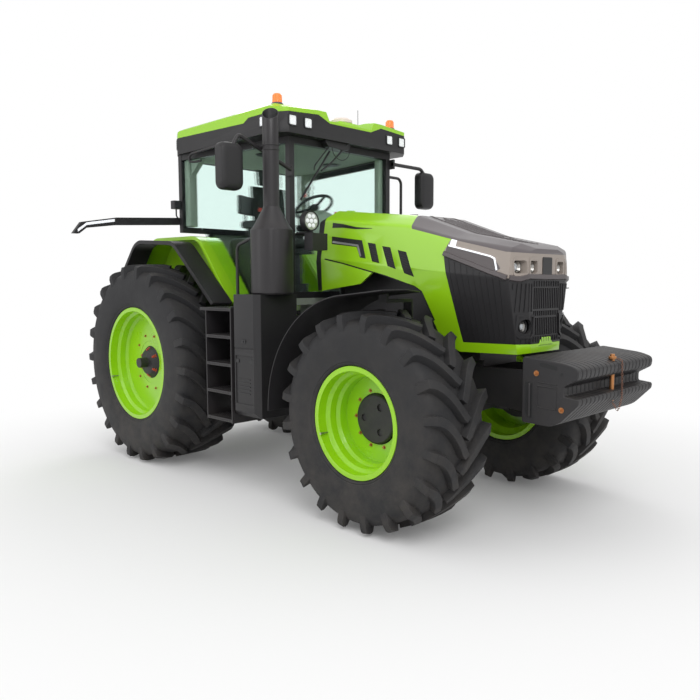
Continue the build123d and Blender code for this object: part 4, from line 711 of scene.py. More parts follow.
def lug(tyre_r, half, lead, top, reach, side):
    """One lug on the +Y (side 1) or -Y half, its middle end ahead of its shoulder end."""
    # columns: travel from the tread's middle, y and radius of the top, y and radius of the foot
    meridian = (
        (-30, -30, tyre_r, -30, tyre_r - LUG_H - 8),
        (half * 0.55, half * 0.55, tyre_r - 2, half * 0.55, tyre_r - LUG_H - 12),
        (half - 45, half - 45, tyre_r - CROWN, half - 60, tyre_r - LUG_H - 26),
        (half - 10, half - 12, tyre_r - CROWN - 12, half - 34, tyre_r - LUG_H - 44),
        (half + 25, half - 3, tyre_r - CROWN - 45, half - 22, tyre_r - LUG_H - 66),
        (half + reach, half - 4, tyre_r - CROWN - 20 - reach, half - 12, tyre_r - LUG_H - 66 - reach * 0.7),
    )
    rings = []
    travel_end = half + reach
    for i in range(LUG_STEPS + 1):
        s = -OVER_MIDDLE + (travel_end + OVER_MIDDLE) * (i / LUG_STEPS)
        inward = max(0.0, 1 - max(s, 0) / half)
        arc = lead * inward ** 1.7
        slope = -lead * 1.7 / half * max(inward, 0.02) ** 0.7 if s < half else 0.0
        length = math.hypot(1, slope)
        across = (1 / length, -slope / length)       # unit vector across the lug: (arc, travel)
        width = top * (1 + 0.12 * min(1.0, max(s, 0) / half)) / 2
        ring = []
        for spread, foot in ((-width - LEAN, True), (-width, False), (width, False), (width + LEAN, True)):
            t = max(-30, min(travel_end, s + across[1] * spread))
            y_top, r_top, y_foot, r_foot = read_table(meridian, t)
            y, r = (y_foot, r_foot) if foot else (y_top, r_top)
            turn = (arc + across[0] * spread) / tyre_r
            ring.append(Vector((r * math.sin(turn), side * y, r * math.cos(turn))) * MM)
        rings.append(ring)
    bm = bmesh.new()
    skin(bm, rings)
    return bm


def carcass(bm, tyre_r, half, flange_r, rim_half, centre):
    """The round body of a tyre with bead ribs, turned about its axle."""
    base = tyre_r - LUG_H
    side = [(rim_half - 14, flange_r - 24), (rim_half - 12, flange_r + 2), (rim_half + 4, flange_r + 7),
            (rim_half + 12, flange_r + 18), (rim_half + 11, flange_r + 26), (rim_half + 17, flange_r + 32),
            (half - 12, flange_r + 62), (half - 4, flange_r + 100), (half - 1, (flange_r + base) / 2),
            (half - 6, base - 100), (half - 20, base - 60), (half - 38, base - 34), (half - 66, base - 18),
            (half * 0.5, base - 6), (0, base)]
    profile = side + [(-y, r) for y, r in reversed(side[:-1])]
    add_lathe(bm, [(y * MM, r * MM) for y, r in profile], centre, steps=96)


for end, axle_x, tyre_r, half, lugs, top, lead, reach, flange_r, rim_half, wheel_y in TYRES:
    for label, s in SIDES:
        centre = Vector((axle_x, s * wheel_y * MM, tyre_r * MM))
        bm = bmesh.new()
        carcass(bm, tyre_r, half, flange_r, rim_half, centre)
        for half_side, start in ((1, 0.0), (-1, math.pi / lugs)):
            first = lug(tyre_r, half, lead, top, reach, half_side)
            bmesh.ops.translate(first, verts=first.verts, vec=centre)
            bm.from_mesh(repeated(first, ring_tree, paint["tyre"], Count=lugs, Start=start, Centre=centre[:]))
        name = f"tyre_{end}_{label}"
        finish_piece(bm, name + "_look", f"wheel_{end}_{label}", "tyre", 0.005, (name,))

# %% [markdown]
# ## The hood
# The hood is one long lid of pressed panels over the engine. Its sides are lime, its top is a satin
# grey skin with a ribbed insert, and a pale band with lamp pods runs round its nose over a black mesh
# grille. The panels keep their packed form. What lies on them, such as light strips, ledges and ribs,
# follows their surface: a ray finds each point of a path on the skin, and a strip is built over it.
# Paths on a side are (millimetres ahead of the front axle, height), and on the front (y, height).

# %% Finishes of the hood
gloss_black = finish_material("gloss_black_trim", colour(20, 20, 22), 0.3, drift=0.02, bump=0.02, dust=0.0)
brow_grey = finish_material("brow_grey", colour(84, 78, 79), 0.36, drift=0.03, pebble=700, bump=0.08,
                            dust=0.04)
# near-black matt plastic of the vents, slats and speakers; the same colour is painted shade in the weight
# plates' hollows and in the exhaust bore
vent_black_and_painted_shade = finish_material("vent_black_and_painted_shade", colour(24, 25, 26), 0.6, drift=0.05, pebble=900, bump=0.2,
                             dust=0.02)
silver_line = finish_material("silver_line", colour(176, 178, 176), 0.3, metallic=0.6, bump=0.03, dust=0.02)
light_guide = glow_material("light_guide", (0.93, 0.95, 1.0, 1), 0.25)


# %% Points on the hood's skin
def skin_tree(*names):
    """A ray-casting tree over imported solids."""
    points, faces = [], []
    for name in names:
        mesh = nodes[name].data
        start = len(points)
        points += [v.co.copy() for v in mesh.vertices]
        faces += [[start + i for i in p.vertices] for p in mesh.polygons]
    print("skin of", ", ".join(names), len(faces), "triangles")
    return BVHTree.FromPolygons(points, faces)


hood_skin = skin_tree("hood_panels", "hood_top", "lamp_band", "hood_grille")


def cast(origin, direction, tree=hood_skin):
    """Where a ray meets a skin, and the normal there; a ray that slips through a seam is moved aside."""
    direction = Vector(direction)
    for aside in (0, 0.001, -0.001, 0.003, -0.003, 0.008, -0.008):
        step = (0, 0, aside) if abs(direction.z) < 0.5 else (aside, 0, 0)
        point, normal = tree.ray_cast(Vector(origin) + Vector(step), direction)[:2]
        if point is not None:
            return point, (normal if normal.dot(direction) < 0 else -normal)
    raise ValueError(f"no skin from {tuple(origin)}")


def on_side(dx, z, s):
    return cast((FRONT + dx * MM, s * 2, z * MM), (0, -s, 0))


def on_front(y, z):
    return cast((4, y * MM, z * MM), (-1, 0, 0))


def on_top(dx, y):
    return cast((FRONT + dx * MM, y * MM, 4), (0, 0, -1))


def between(points, steps):
    """A polyline cut into short steps."""
    fine = []
    for a, b in zip(points, points[1:]):
        fine += [tuple(p + (q - p) * i / steps for p, q in zip(a, b)) for i in range(steps)]
    return fine + [tuple(points[-1])]


STRIP_ROOT = 0.004             # a strip's foot lies this far under the skin


def add_strip(bm, spots, width, rise, top=0.75, tip=1.0):
    """A raised strip over (point, normal) spots: its top is a share of its foot's width, its far end
    a share of its near end's."""
    rings = []
    for i, (point, normal) in enumerate(spots):
        before, after = spots[max(i - 1, 0)][0], spots[min(i + 1, len(spots) - 1)][0]
        side = normal.cross(after - before).normalized() * width / 2
        side *= 1 + (tip - 1) * i / (len(spots) - 1)
        rings.append([point - side - normal * STRIP_ROOT, point + side - normal * STRIP_ROOT,
                      point + side * top + normal * rise, point - side * top + normal * rise])
    skin(bm, rings)


def strip_along(bm, path, steps, side, *sizes, **shares):
    """A strip over a path on the hood's "front", its "top", or its left (1) or right (-1) side."""
    find = {"front": on_front, "top": on_top}.get(side)
    spots = [find(*p) if find else on_side(*p, side) for p in between(path, steps)]
    add_strip(bm, spots, *sizes, **shares)


def inside(point, outline):
    """Whether a (u, v) point lies in an outline."""
    u, v = point
    odd = False
    for (au, av), (bu, bv) in zip(outline, outline[1:] + outline[:1]):
        if (av > v) != (bv > v) and u < (bu - au) * (v - av) / (bv - av) + au:
            odd = not odd
    return odd


# %% Lime sides with dark vents
INLAY = [(-995, 2186), (-626, 2136), (-578, 1974), (-652, 1984), (-694, 2072), (-995, 2110)]
VENTS = ([(-572, 2115), (-475, 2101), (-424, 1934), (-516, 1950)],
         [(-410, 2080), (-313, 2066), (-249, 1883), (-345, 1909)],
         [(-245, 2043), (-146, 2024), (-68, 1820), (-175, 1851)])
LOW_SEAM = [(-1080, 2002), (-856, 1959), (-360, 1845), (-71, 1763), (-2, 1722), (101, 1497),
            (76, 1486), (-26, 1701), (-87, 1742), (-367, 1823), (-860, 1937), (-1080, 1979)]
INLAY_LINE = [(-985, 2133), (-684, 2090), (-650, 2000)]
FLICK = [(-985, 2274), (-860, 2262), (-700, 2234), (-520, 2222)]
SLATS = 8                      # in each vent
SIDE_FROM = 0.3                # a panel's faces further out than this are its sides

panels = refined("hood_panels", bevel=0.003)
panels.data.materials.append(vent_black_and_painted_shade)
for face in panels.data.polygons:
    corners = [panels.data.vertices[i].co for i in face.vertices]
    spots = [((c.x - FRONT) / MM, c.z / MM) for c in corners]
    dark = any(all(inside(spot, outline) for spot in spots) for outline in (INLAY, *VENTS, LOW_SEAM))
    if dark and abs(corners[0].y) > SIDE_FROM:
        face.material_index = 1
refined("hood_top", bevel=0.004)
refined("lamp_band", bevel=0.003)

slats, grey, flicks = new_forms(3)
for s in (1, -1):
    for (ax, az), (bx, bz), (cx, cz), (dx, dz) in VENTS:
        for k in range(1, SLATS + 1):
            t = k / (SLATS + 1)
            left = (ax + (dx - ax) * t + 10, az + (dz - az) * t)
            right = (bx + (cx - bx) * t - 10, bz + (cz - bz) * t)
            strip_along(slats, [left, right], 2, s, 0.006, 0.003)
    strip_along(grey, INLAY_LINE, 8, s, 0.02, 0.004)
    strip_along(flicks, FLICK, 5, s, 0.046, 0.0015, top=0.95, tip=0.08)
finish_piece(slats, "vent_slats", "hood", "dark_plastic", material=vent_black_and_painted_shade)
finish_piece(grey, "inlay_line", "hood", "dark_plastic", material=silver_line)
finish_piece(flicks, "side_flick", "hood", "dark_plastic", material=gloss_black)

# %% Light strips, ledge and brow
guides, brow = new_forms(2)
for s in (1, -1):
    strip_along(guides, [(246, 2054), (420, 2010), (590, 1965), (622, 1948), (634, 1910), (646, 1866)],
                5, s, 0.015, 0.006)
    strip_along(guides, [(262, 2076), (310, 2064)], 3, s, 0.05, 0.004)
    strip_along(brow, [(224, 2022), (420, 1966), (600, 1912), (640, 1856)], 6, s, 0.082, 0.002, top=0.97)
    strip_along(brow, [(204, 1998), (400, 1927), (600, 1853), (728, 1812)], 8, s, 0.044, 0.014, top=0.62)
front_edge = [(-408, 1812), (-330, 1802), (-250, 1822), (0, 1818), (250, 1822), (330, 1802), (408, 1812)]
strip_along(brow, front_edge, 5, "front", 0.046, 0.014, top=0.62)
finish_piece(guides, "light_guides", "hood", "lamp", 0.001, material=light_guide)
finish_piece(brow, "brow", "hood", "dark_plastic", 0.002, material=brow_grey)

# %% Lamp pods
POD_AT = (185, 318)
POD_HEIGHT = 1888
# columns: depth from the pod's floor, radius
BOWL = ((0, 0.002), (0.004, 0.024), (0.03, 0.042), (0.032, 0.040), (0.006, 0.023), (0.002, 0.001))
LENS = ((0.022, 0.0005), (0.018, 0.024), (0.008, 0.026), (0.008, 0.0005))

bezels, bowls, lenses = new_forms(3)
for y in [s * v for s in (1, -1) for v in POD_AT]:
    outer = round_outline(((y - 60) * MM, 1.824), ((y + 60) * MM, 1.958), 0.022)
    inner = round_outline(((y - 46) * MM, 1.843), ((y + 46) * MM, 1.933), 0.016)
    skin_x = [on_front(max(min(u / MM, 395), -395), max(min(v / MM, 1975), 1815))[0].x for u, v in outer]
    skin(bezels, [[Vector((x + push, u, v)) for x, (u, v) in zip(skin_x, outline)]
                  for outline, push in ((outer, -0.004), (outer, 0.004), (inner, 0.004), (inner, -0.05))],
         capped=False)
    pod_floor = on_front(y, POD_HEIGHT + 62)[0].x - 0.055
    for form, profile, steps in ((bowls, BOWL, 32), (lenses, LENS, 28)):
        add_lathe(form, [(pod_floor + depth, r) for depth, r in profile],
                  (0, y * MM, POD_HEIGHT * MM), steps, "x")
finish_piece(bezels, "pod_bezels", "hood", "taupe_plastic")
finish_piece(bowls, "pod_bowls", "hood", "steel")
finish_piece(lenses, "pod_lenses", "hood", "lamp")

plate = bmesh.new()
nose_x = on_front(0, 1890)[0].x
add_slab(plate, (-0.066, 1.836), (0.066, 1.962), 0.012, "x", nose_x - 0.006, nose_x + 0.005)
finish_piece(plate, "badge_blank", "hood", "dark_plastic", 0.002, material=gloss_black)

# %% Ribbed insert in the hood's top
INSERT_RIM = [(-240, 0), (-190, 120), (-120, 160), (330, 160), (440, 120), (490, 0)]

insert = bmesh.new()
for k in range(-3, 4):
    strip_along(insert, [(-150 + 40 * abs(k), 42 * k), (430 - 32 * abs(k), 42 * k)], 24, "top", 0.016, 0.004)
for k in range(5):
    nose = 520 + k * 48
    arm = [(nose - 70, -150 + k * 6), (nose, -12), (nose, 12), (nose - 70, 150 - k * 6)]
    strip_along(insert, arm, 8, "top", 0.014, 0.004)
rim = INSERT_RIM + [(dx, -y) for dx, y in INSERT_RIM[-2::-1]]
strip_along(insert, rim, 10, "top", 0.014, 0.005)
finish_piece(insert, "hood_insert", "hood", "grey_plastic", material=brow_grey)

cap_at = on_top(-330, -170)[0]
cap = bmesh.new()
add_prism(cap, [(cap_at.x + 0.05 * math.cos(a), cap_at.y + 0.03 * math.sin(a)) for a in turns(28)],
          "z", cap_at.z - 0.01, cap_at.z + 0.005)
finish_piece(cap, "hood_cap", "hood", "grey_plastic", 0.002, material=brow_grey)

# %% Grille ribs and the lip's bump
RIB_PITCH = 34
PLATE_HALF = 185               # the grille's plain middle, where a rib keeps only its two ends
POCKET_HALF = 320              # the low lamps' pockets lie inside this
RIB_MARGIN = 18                # ribs end this far inside the face's edge


def face_half(z):
    """Half the width of the mesh face, which widens from its foot at 1265 to its top at 1810."""
    return 285 + 130 * (z - 1265) / (1810 - 1265)


refined("hood_grille", bevel=0.002)
ribs = bmesh.new()
for k in range(-11, 12):
    y = k * RIB_PITCH
    if abs(y) < PLATE_HALF:
        parts = [(low, low + 20, low + 40) for low in (1750, 1352)]
    else:
        rows = [z for z in range(1352, 1792, 20) if abs(y) < face_half(z) - RIB_MARGIN]
        parts = [rows]
        if abs(y) < POCKET_HALF:
            parts = [[z for z in rows if z > 1552], [z for z in rows if z < 1380]]
    for part in parts:
        if len(part) > 1:
            add_strip(ribs, [on_front(y, z) for z in part], 0.009, 0.006)
for s in (1, -1):
    for k in range(9):
        dx_top, dx_low = 250 + 52 * k, 345 + 40 * k
        top_z = 2005 - (dx_top - 200) * 197 / 530 - 34
        strip_along(ribs, [(dx_low, 1356), (dx_top, top_z)], 14, s, 0.006, 0.003)
finish_piece(ribs, "grille_ribs", "hood", "dark_plastic")

lip = bmesh.new()
lip_x = on_front(0, 1345)[0].x
add_prism(lip, [(-0.10, 1.325), (0.10, 1.325), (0.062, 1.382), (-0.062, 1.382)],
          "x", lip_x - 0.02, lip_x + 0.006)
finish_piece(lip, "lip_bump", "hood", "green_paint", 0.004)

# pocket frames round the low lamps: corners as (y, z) from the pocket's middle
FRAME_OUT = ((-78, 85), (78, 85), (70, -60), (45, -85), (-45, -85), (-70, -60))
FRAME_IN = ((-62, 69), (62, 69), (56, -52), (36, -70), (-36, -70), (-56, -52))

frames = bmesh.new()
for s in (1, -1):
    skin(frames, [[Vector((on_front(s * max(196, abs(s * 250 + u)), 1465 + v)[0].x + push,
                           (s * 250 + u) * MM, (1465 + v) * MM)) for u, v in outline]
                  for outline, push in ((FRAME_OUT, -0.004), (FRAME_OUT, 0.012),
                                        (FRAME_IN, 0.010), (FRAME_IN, -0.004))], closed=False, capped=False)
finish_piece(frames, "low_lamp_frames", "hood", "dark_plastic", 0.0015)
print("hood pieces", len(made))

# %% [markdown]
# ## Roof, lamps and beacons
# The roof's work lamps are square lights in black bezels, two each side of the front, one on each
# side and one on each rear corner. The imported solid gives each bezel. A white lens with a small grid
# of light cells goes into it: the grid tree repeats one low dome, and the finished lens is turned to
# the way its lamp faces.

# %% Work lamps
ROOF_FRONT, ROOF_BACK = FRONT - 1.215, FRONT - 2.9
CELL_PITCH = 0.018
lamp_white = glow_material("work_lamp_lens", (0.86, 0.88, 0.9, 1), 0.12)
pale_shell = finish_material("pale_receiver", colour(226, 212, 200), 0.4, drift=0.03, bump=0.04, dust=0.02)
housing_black = finish_material("housing_black", colour(30, 30, 32), 0.4, drift=0.05, pebble=700, bump=0.12,
                                dust=0.04)

# columns: x and y of the middle of the face, way it faces in degrees from forward
LAMP_PLACES = [(ROOF_FRONT, s * y, 0) for s in (1, -1) for y in (0.523, 0.698)]
LAMP_PLACES += [(ROOF_FRONT - 0.215, s * 0.85, s * 90) for s in (1, -1)]
LAMP_PLACES += [(ROOF_BACK + 0.072, s * 0.825, s * 117.8) for s in (1, -1)]
LAMP_HEIGHT = 3.155

lens, dome, bezel = new_forms(3)
add_slab(lens, (-0.038, -0.038), (0.038, 0.038), 0.01, "x", -0.006, 0.0)
bmesh.ops.create_uvsphere(dome, u_segments=8, v_segments=4, radius=0.0068)
bmesh.ops.translate(dome, verts=dome.verts, vec=(-0.003, -1.5 * CELL_PITCH, -1.5 * CELL_PITCH))
lens.from_mesh(repeated(dome, grid_tree, lamp_white, Across=4, Step=(0, CELL_PITCH, 0),
                        Rows=4, Rise=(0, 0, CELL_PITCH)))
outer = round_outline((-0.050, -0.050), (0.050, 0.050), 0.018)
inner = round_outline((-0.039, -0.039), (0.039, 0.039), 0.01)
skin(bezel, [[Vector((d, u, v)) for u, v in outline]
             for outline, d in ((outer, -0.01), (outer, 0.004), (inner, 0.006), (inner, -0.01))],
     closed=False, capped=False)
lens_mesh, bezel_mesh = as_mesh(lens), as_mesh(bezel)
lenses, bezels = new_forms(2)
for x, y, turn in LAMP_PLACES:
    place = placed((x, y, LAMP_HEIGHT), (turn, "Z")) @ Matrix.Translation((0.002, 0, 0))
    add_placed(lenses, lens_mesh, place)
    add_placed(bezels, bezel_mesh, place)
finish_piece(lenses, "work_lamp_lenses", "chassis", "lamp", material=lamp_white)
finish_piece(bezels, "work_lamp_bezels", "chassis", "dark_plastic", 0.001, material=housing_black)
refined("roof_lamps", bevel=0.001, slot="dark_plastic", material=housing_black)
refined("roof_shell", bevel=0.006, segments=3)
refined("roof_fascia", bevel=0.004)

# %% Beacons, receiver and antenna
BEACON_X, BEACON_Y = FRONT - 1.39, 0.72
WHIP_X, WHIP_Y = ROOF_FRONT - 0.1, 0.19
FLUTES = 20                    # small ribs round a beacon's dome
# columns: height, radius
BEACON_BASE = ((3.298, 0.001), (3.298, 0.052), (3.312, 0.052), (3.322, 0.044), (3.322, 0.001))
BEACON_DOME = ((3.32, 0.001), (3.32, 0.040), (3.386, 0.037), (3.396, 0.030), (3.3995, 0.001))
RECEIVER = ((3.236, 0.001), (3.236, 0.088), (3.25, 0.1), (3.272, 0.098), (3.288, 0.078), (3.294, 0.001))
WHIP_FOOT = ((3.2, 0.0005), (3.2, 0.012), (3.222, 0.012), (3.232, 0.006), (3.232, 0.0005))
glow_amber = glow_material("amber_dome", colour(248, 128, 62), 0.35)

base, dome = new_forms(2)
for s in (1, -1):
    at = (BEACON_X, s * BEACON_Y, 0)
    add_lathe(base, BEACON_BASE, at, 40, "z")
    add_lathe(dome, BEACON_DOME, at, 40, "z")
    for low, high in zip(circle(at, 0.0395, FLUTES), circle(at, 0.037, FLUTES)):
        add_tube(dome, [(*low, 3.325), (*high, 3.384)], 0.003, 6)
finish_piece(base, "beacon_bases", "chassis", "dark_plastic", 0.001, material=brow_grey)
finish_piece(dome, "beacon_domes", "chassis", "amber", stands_for=("beacons",), material=glow_amber)

disc, whip = new_forms(2)
add_lathe(disc, RECEIVER, (ROOF_FRONT - 0.125, 0, 0), 56, "z")
finish_piece(disc, "receiver_disc", "chassis", "grey_plastic", 0.002, material=pale_shell)
add_tube(whip, [(WHIP_X, WHIP_Y, 3.2), (WHIP_X, WHIP_Y, 3.396)], 0.0025, 8)
add_lathe(whip, WHIP_FOOT, (WHIP_X, WHIP_Y, 0), 16, "z")
finish_piece(whip, "whip_antenna", "chassis", "dark_plastic", material=housing_black)

# %% Rail under the roof's edge, wiper and its motor
WIND_X = 0.178                 # the windscreen's face at the wiper

rail = bmesh.new()
for s in (1, -1):
    add_tube(rail, rounded([(-0.35, s * 0.835, 3.075), (-0.37, s * 0.848, 3.05), (-1.06, s * 0.848, 3.03),
                            (-1.10, s * 0.848, 3.0), (-1.105, s * 0.835, 2.96), (-1.06, s * 0.815, 2.955),
                            (-0.98, s * 0.79, 2.96)], 0.03), 0.011, 10)
finish_piece(rail, "roof_rails", "chassis", "black_steel")

cover, arms = new_forms(2)
add_prism(cover, [(-0.29, 3.075), (0.045, 3.075), (0.012, 3.0), (-0.06, 2.985), (-0.25, 3.0), (-0.285, 3.03)],
          "x", WIND_X - 0.006, ROOF_FRONT - 0.035)
finish_piece(cover, "wiper_motor_cover", "chassis", "dark_plastic", 0.006)
add_tube(arms, rounded([(ROOF_FRONT - 0.03, 0.007, 3.07), (WIND_X + 0.02, -0.168, 2.878),
                        (WIND_X + 0.014, -0.30, 2.785)], 0.05), 0.008, 8)
add_tube(arms, rounded([(ROOF_FRONT - 0.04, -0.24, 3.0), (WIND_X + 0.016, -0.382, 2.82),
                        (WIND_X + 0.014, -0.385, 2.78)], 0.03), 0.006, 8)
for push, thick in ((0.014, 0.009), (0.003, 0.004)):
    add_tube(arms, [(WIND_X + push, y, z) for y, z in ((-0.197, 2.966), (-0.371, 2.739), (-0.545, 2.512))],
             thick, 8)
add_tube(arms, [(ROOF_FRONT - 0.03, -0.1 + 0.11 * math.cos(a), 2.995 + 0.1 * math.sin(a))
                for a in turns(28, math.pi)[:15]], 0.0035, 6)
finish_piece(arms, "wiper", "chassis", "black_steel", material=housing_black)

# %% [markdown]
# ## Inside the cab
# Behind the glass are the seat, the steering wheel and the controls. They are seen through tint, so
# what counts is their outline and tone. The seat is upholstered: each cushion is a crowned shape with
# stitched grooves, raised from a fine grid rather than cut from a block, so that it looks filled.

# %% Seat cushions
SEAT = FRONT - 2.18
CROWN_SHARE = 0.35
CUSHION_STEPS = 26
LYING = ((90, "Z"),)
UPRIGHT = ((-6, "Y"), (90, "Y"), (90, "Z"))


def cushion(place, width, depth, thick, grooves):
    """A padded cushion: a grid swollen on both faces, with stitched grooves across u on its top."""
    def height(u, v, side):
        edge = side * thick / 2
        rim = (1 - abs(u) ** 5) ** 0.4 * (1 - abs(v) ** 5) ** 0.4
        if side < 0:
            return edge * rim
        swell = 1 + CROWN_SHARE * (1 - u * u) * (1 - v * v)
        cut = sum(0.16 * math.exp(-((u - g) / 0.035) ** 2) for g in grooves)
        quilt = 0.03 * math.cos(v * math.pi * 5) * (abs(u) < 0.45)
        return edge * (rim * (swell - cut + quilt))
    marks = [math.sin(math.pi / 2 * (2 * i / CUSHION_STEPS - 1)) for i in range(CUSHION_STEPS + 1)]
    bm = bmesh.new()
    for side in (1, -1):
        rows = [[bm.verts.new(place @ Vector((u * width / 2, v * depth / 2, height(u, v, side))))
                 for v in marks] for u in marks]
        for a, b in zip(rows, rows[1:]):
            for j in range(CUSHION_STEPS):
                bm.faces.new((a[j], a[j + 1], b[j + 1], b[j]))
    return bm


# columns: name, place, way it lies, width, depth, thickness, grooves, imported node
for name, at, way, *sizes, stands_for in (
        ("seat_cushion", (SEAT, 0, 2.175), LYING, 0.49, 0.51, 0.10, (-0.6, 0.6), ("seat",)),
        ("seat_backrest", (SEAT - 0.225, 0, 2.49), UPRIGHT, 0.46, 0.56, 0.085, (-0.6, 0.6), ()),
        ("seat_headrest", (SEAT - 0.262, 0, 2.865), UPRIGHT, 0.28, 0.16, 0.07, (), ())):
    piece = finish_piece(cushion(placed(at, *way), *sizes), name, "chassis", "seat_cloth",
                         stands_for=stands_for)

base = bmesh.new()
add_slab(base, (SEAT - 0.19, -0.19), (SEAT + 0.17, 0.19), 0.04, "z", 1.65, 1.78)
for k in range(6):                           # the folds of the gaiter
    step_in = 0.008 * (k % 2)
    add_slab(base, (SEAT - 0.15 + step_in, -0.15), (SEAT + 0.13 - step_in, 0.15), 0.04,
             "z", 1.78 + 0.05 * k, 1.83 + 0.05 * k)
add_slab(base, (SEAT - 0.24, -0.23), (SEAT + 0.22, 0.23), 0.05, "z", 2.08, 2.13)
for y in (-0.05, 0.05):
    add_tube(base, [(SEAT - 0.243, y, 2.74), (SEAT - 0.243 - 0.008, y, 2.82)], 0.008, 8)
finish_piece(base, "seat_pedestal", "chassis", "dark_plastic", 0.004)

# %% Armrest, monitor and knobs
MONITOR = (-0.86, -0.36, 2.555)
# columns: rise above the stalk, radius
KNOB = ((-0.005, 0.001), (0, 0.014), (0.02, 0.017), (0.034, 0.010), (0.037, 0.001))
KNOBS = ((-0.62, -0.36, 2.48), (-0.55, -0.33, 2.46), (-0.10, 0.16, 2.44), (-0.20, -0.15, 2.60))
knob_red = finish_material("knob_red", colour(190, 60, 50), 0.35, bump=0.02, dust=0.0)

rest, shape, screen, knobs, stalks = new_forms(5)
for s, reach in ((-1, 0.34), (1, 0.24)):
    add_slab(rest, (SEAT - 0.2, 2.33), (SEAT - 0.2 + reach + 0.12, 2.40), 0.03, "y", *both(s, 0.29, 0.40))
    add_slab(rest, (SEAT - 0.18, 2.1), (SEAT - 0.08, 2.34), 0.02, "y", *both(s, 0.31, 0.35))
add_slab(rest, (SEAT - 0.25, 1.66), (SEAT + 0.42, 2.22), 0.06, "y", -0.5, -0.41)
finish_piece(rest, "armrests", "chassis", "cab_lining", 0.006, material=housing_black)
add_slab(shape, (-0.15, -0.09), (0.15, 0.09), 0.02, "x", -0.018, 0.018)
add_placed(screen, as_mesh(shape), placed(MONITOR, (28, "Z")))
add_tube(screen, rounded([(-0.87, -0.36, 2.48), (-0.87, -0.36, 2.40), (-0.80, -0.34, 2.36)], 0.03), 0.012, 8)
finish_piece(screen, "monitor", "chassis", "cab_lining", 0.004, material=housing_black)
for x, y, z in KNOBS:
    add_tube(stalks, [(x, y, z - 0.09), (x, y, z)], 0.006, 8)
    add_lathe(knobs, [(z + rise, r) for rise, r in KNOB], (x, y, 0), 16, "z")
finish_piece(stalks, "knob_stalks", "chassis", "cab_lining", material=housing_black)
finish_piece(knobs, "knobs", "chassis", "cab_lining", material=knob_red)

# %% Steering wheel and its column
CAB_X = FRONT - 1.35
WHEEL_R, RIM_R = 0.19, 0.014
# columns: x back from CAB_X, z, half width, half depth
COLUMN = ((0.1, 1.65, 0.14, 0.06), (0.12, 2.05, 0.12, 0.07), (0.19, 2.28, 0.16, 0.11),
          (0.26, 2.40, 0.15, 0.10), (0.32, 2.46, 0.08, 0.06))

wheel, hub, column = new_forms(3)
wheel_place = placed((CAB_X - 0.38, 0, 2.51), (-30, "Y"))
section = [(WHEEL_R + RIM_R * math.cos(b), 0.01 + RIM_R * math.sin(b)) for b in turns(10)]
skin(wheel, [[wheel_place @ Vector((r * math.cos(a), r * math.sin(a), z)) for r, z in section]
             for a in turns(40)], closed=False, capped=False)
for a in (0.0, 2.2, -2.2):
    add_tube(wheel, [wheel_place @ Vector((r * math.cos(a), r * math.sin(a), z))
                     for r, z in ((0.04, -0.004), (0.18, 0.008))], 0.013, 8)
add_lathe(hub, [(-0.02, 0.001), (-0.02, 0.05), (0.006, 0.058), (0.018, 0.045), (0.02, 0.001)],
          (0, 0, 0), 32, "z")
add_placed(wheel, as_mesh(hub), wheel_place)
finish_piece(wheel, "steering_wheel", "chassis", "cab_lining", material=housing_black)
skin(column, [[Vector((CAB_X - back + deep * math.cos(a), half * math.sin(a), z + deep * 0.35 * math.cos(a)))
               for a in turns(28)] for back, z, half, deep in COLUMN])
finish_piece(column, "steering_column", "chassis", "cab_lining", stands_for=("steering_console",))

# %% Headliner, post trims and their speaker
TRIM_FRONT, TRIM_BACK = CAB_X - 0.03, FRONT - 2.76
POST_X = FRONT - 2.74

trim, speaker = new_forms(2)
add_prism(trim, [(TRIM_FRONT, -0.585), (TRIM_BACK, -0.765), (TRIM_BACK, 0.765), (TRIM_FRONT, 0.585)],
          "z", 2.995, 3.03)
for s in (1, -1):
    for x, y, half, low in ((CAB_X - 0.055, s * 0.575, 0.035, 1.66), (POST_X, s * 0.74, 0.05, 2.35)):
        add_slab(trim, (x - half, y - half), (x + half, y + half), 0.02, "z", low, 3.0)
    add_prism(trim, [(POST_X, 3.0), (FRONT - 2.50, 3.0), (FRONT - 2.68, 2.86), (POST_X, 2.7)],
              "y", *both(s, 0.70, 0.76))
    add_lathe(speaker, [(2.985, 0.001), (2.985, 0.085), (2.992, 0.095), (2.998, 0.095), (2.998, 0.001)],
              (-0.45, s * 0.42, 0), 40, "z")
finish_piece(trim, "headliner", "chassis", "cab_lining", 0.008)
finish_piece(speaker, "speakers", "chassis", "cab_lining", 0.002, material=vent_black_and_painted_shade)
print("cab pieces", len(made))

# %% [markdown]
# ## Front weights
# Twenty cast plates hang side by side on a carrier and balance the load at the back. One plate is an
# outline with soft corners, pushed to its thickness; the grid tree repeats it across the tractor. Its
# bevel is wide, because sand-cast edges are, and that is what makes the stack read as separate plates.

# %% Plates
PLATES, PLATE_PITCH, PLATE_T = 20, 0.057, 0.0545
STACK_END = PLATES / 2 * PLATE_PITCH - (PLATE_PITCH - PLATE_T) / 2
NOSE = 2.850
PLATE_OUTLINE = [(2.4445, 0.850), (2.6515, 0.842), (2.72, 0.872), (NOSE, 1.005), (NOSE, 1.042),
                 (2.7495, 1.053), (2.7495, 1.112), (NOSE - 0.008, 1.165), (NOSE, 1.232), (2.76, 1.262),
                 (2.4445, 1.294)]
PLATE_RADII = (0.02, 0.03, 0.04, 0.03, 0.015, 0.012, 0.012, 0.02, 0.045, 0.08, 0.03)
CARRIER_LOW, CARRIER_HIGH = (FRONT + 0.9353, -0.52, 0.95), (FRONT + 0.975, 0.52, 1.15)

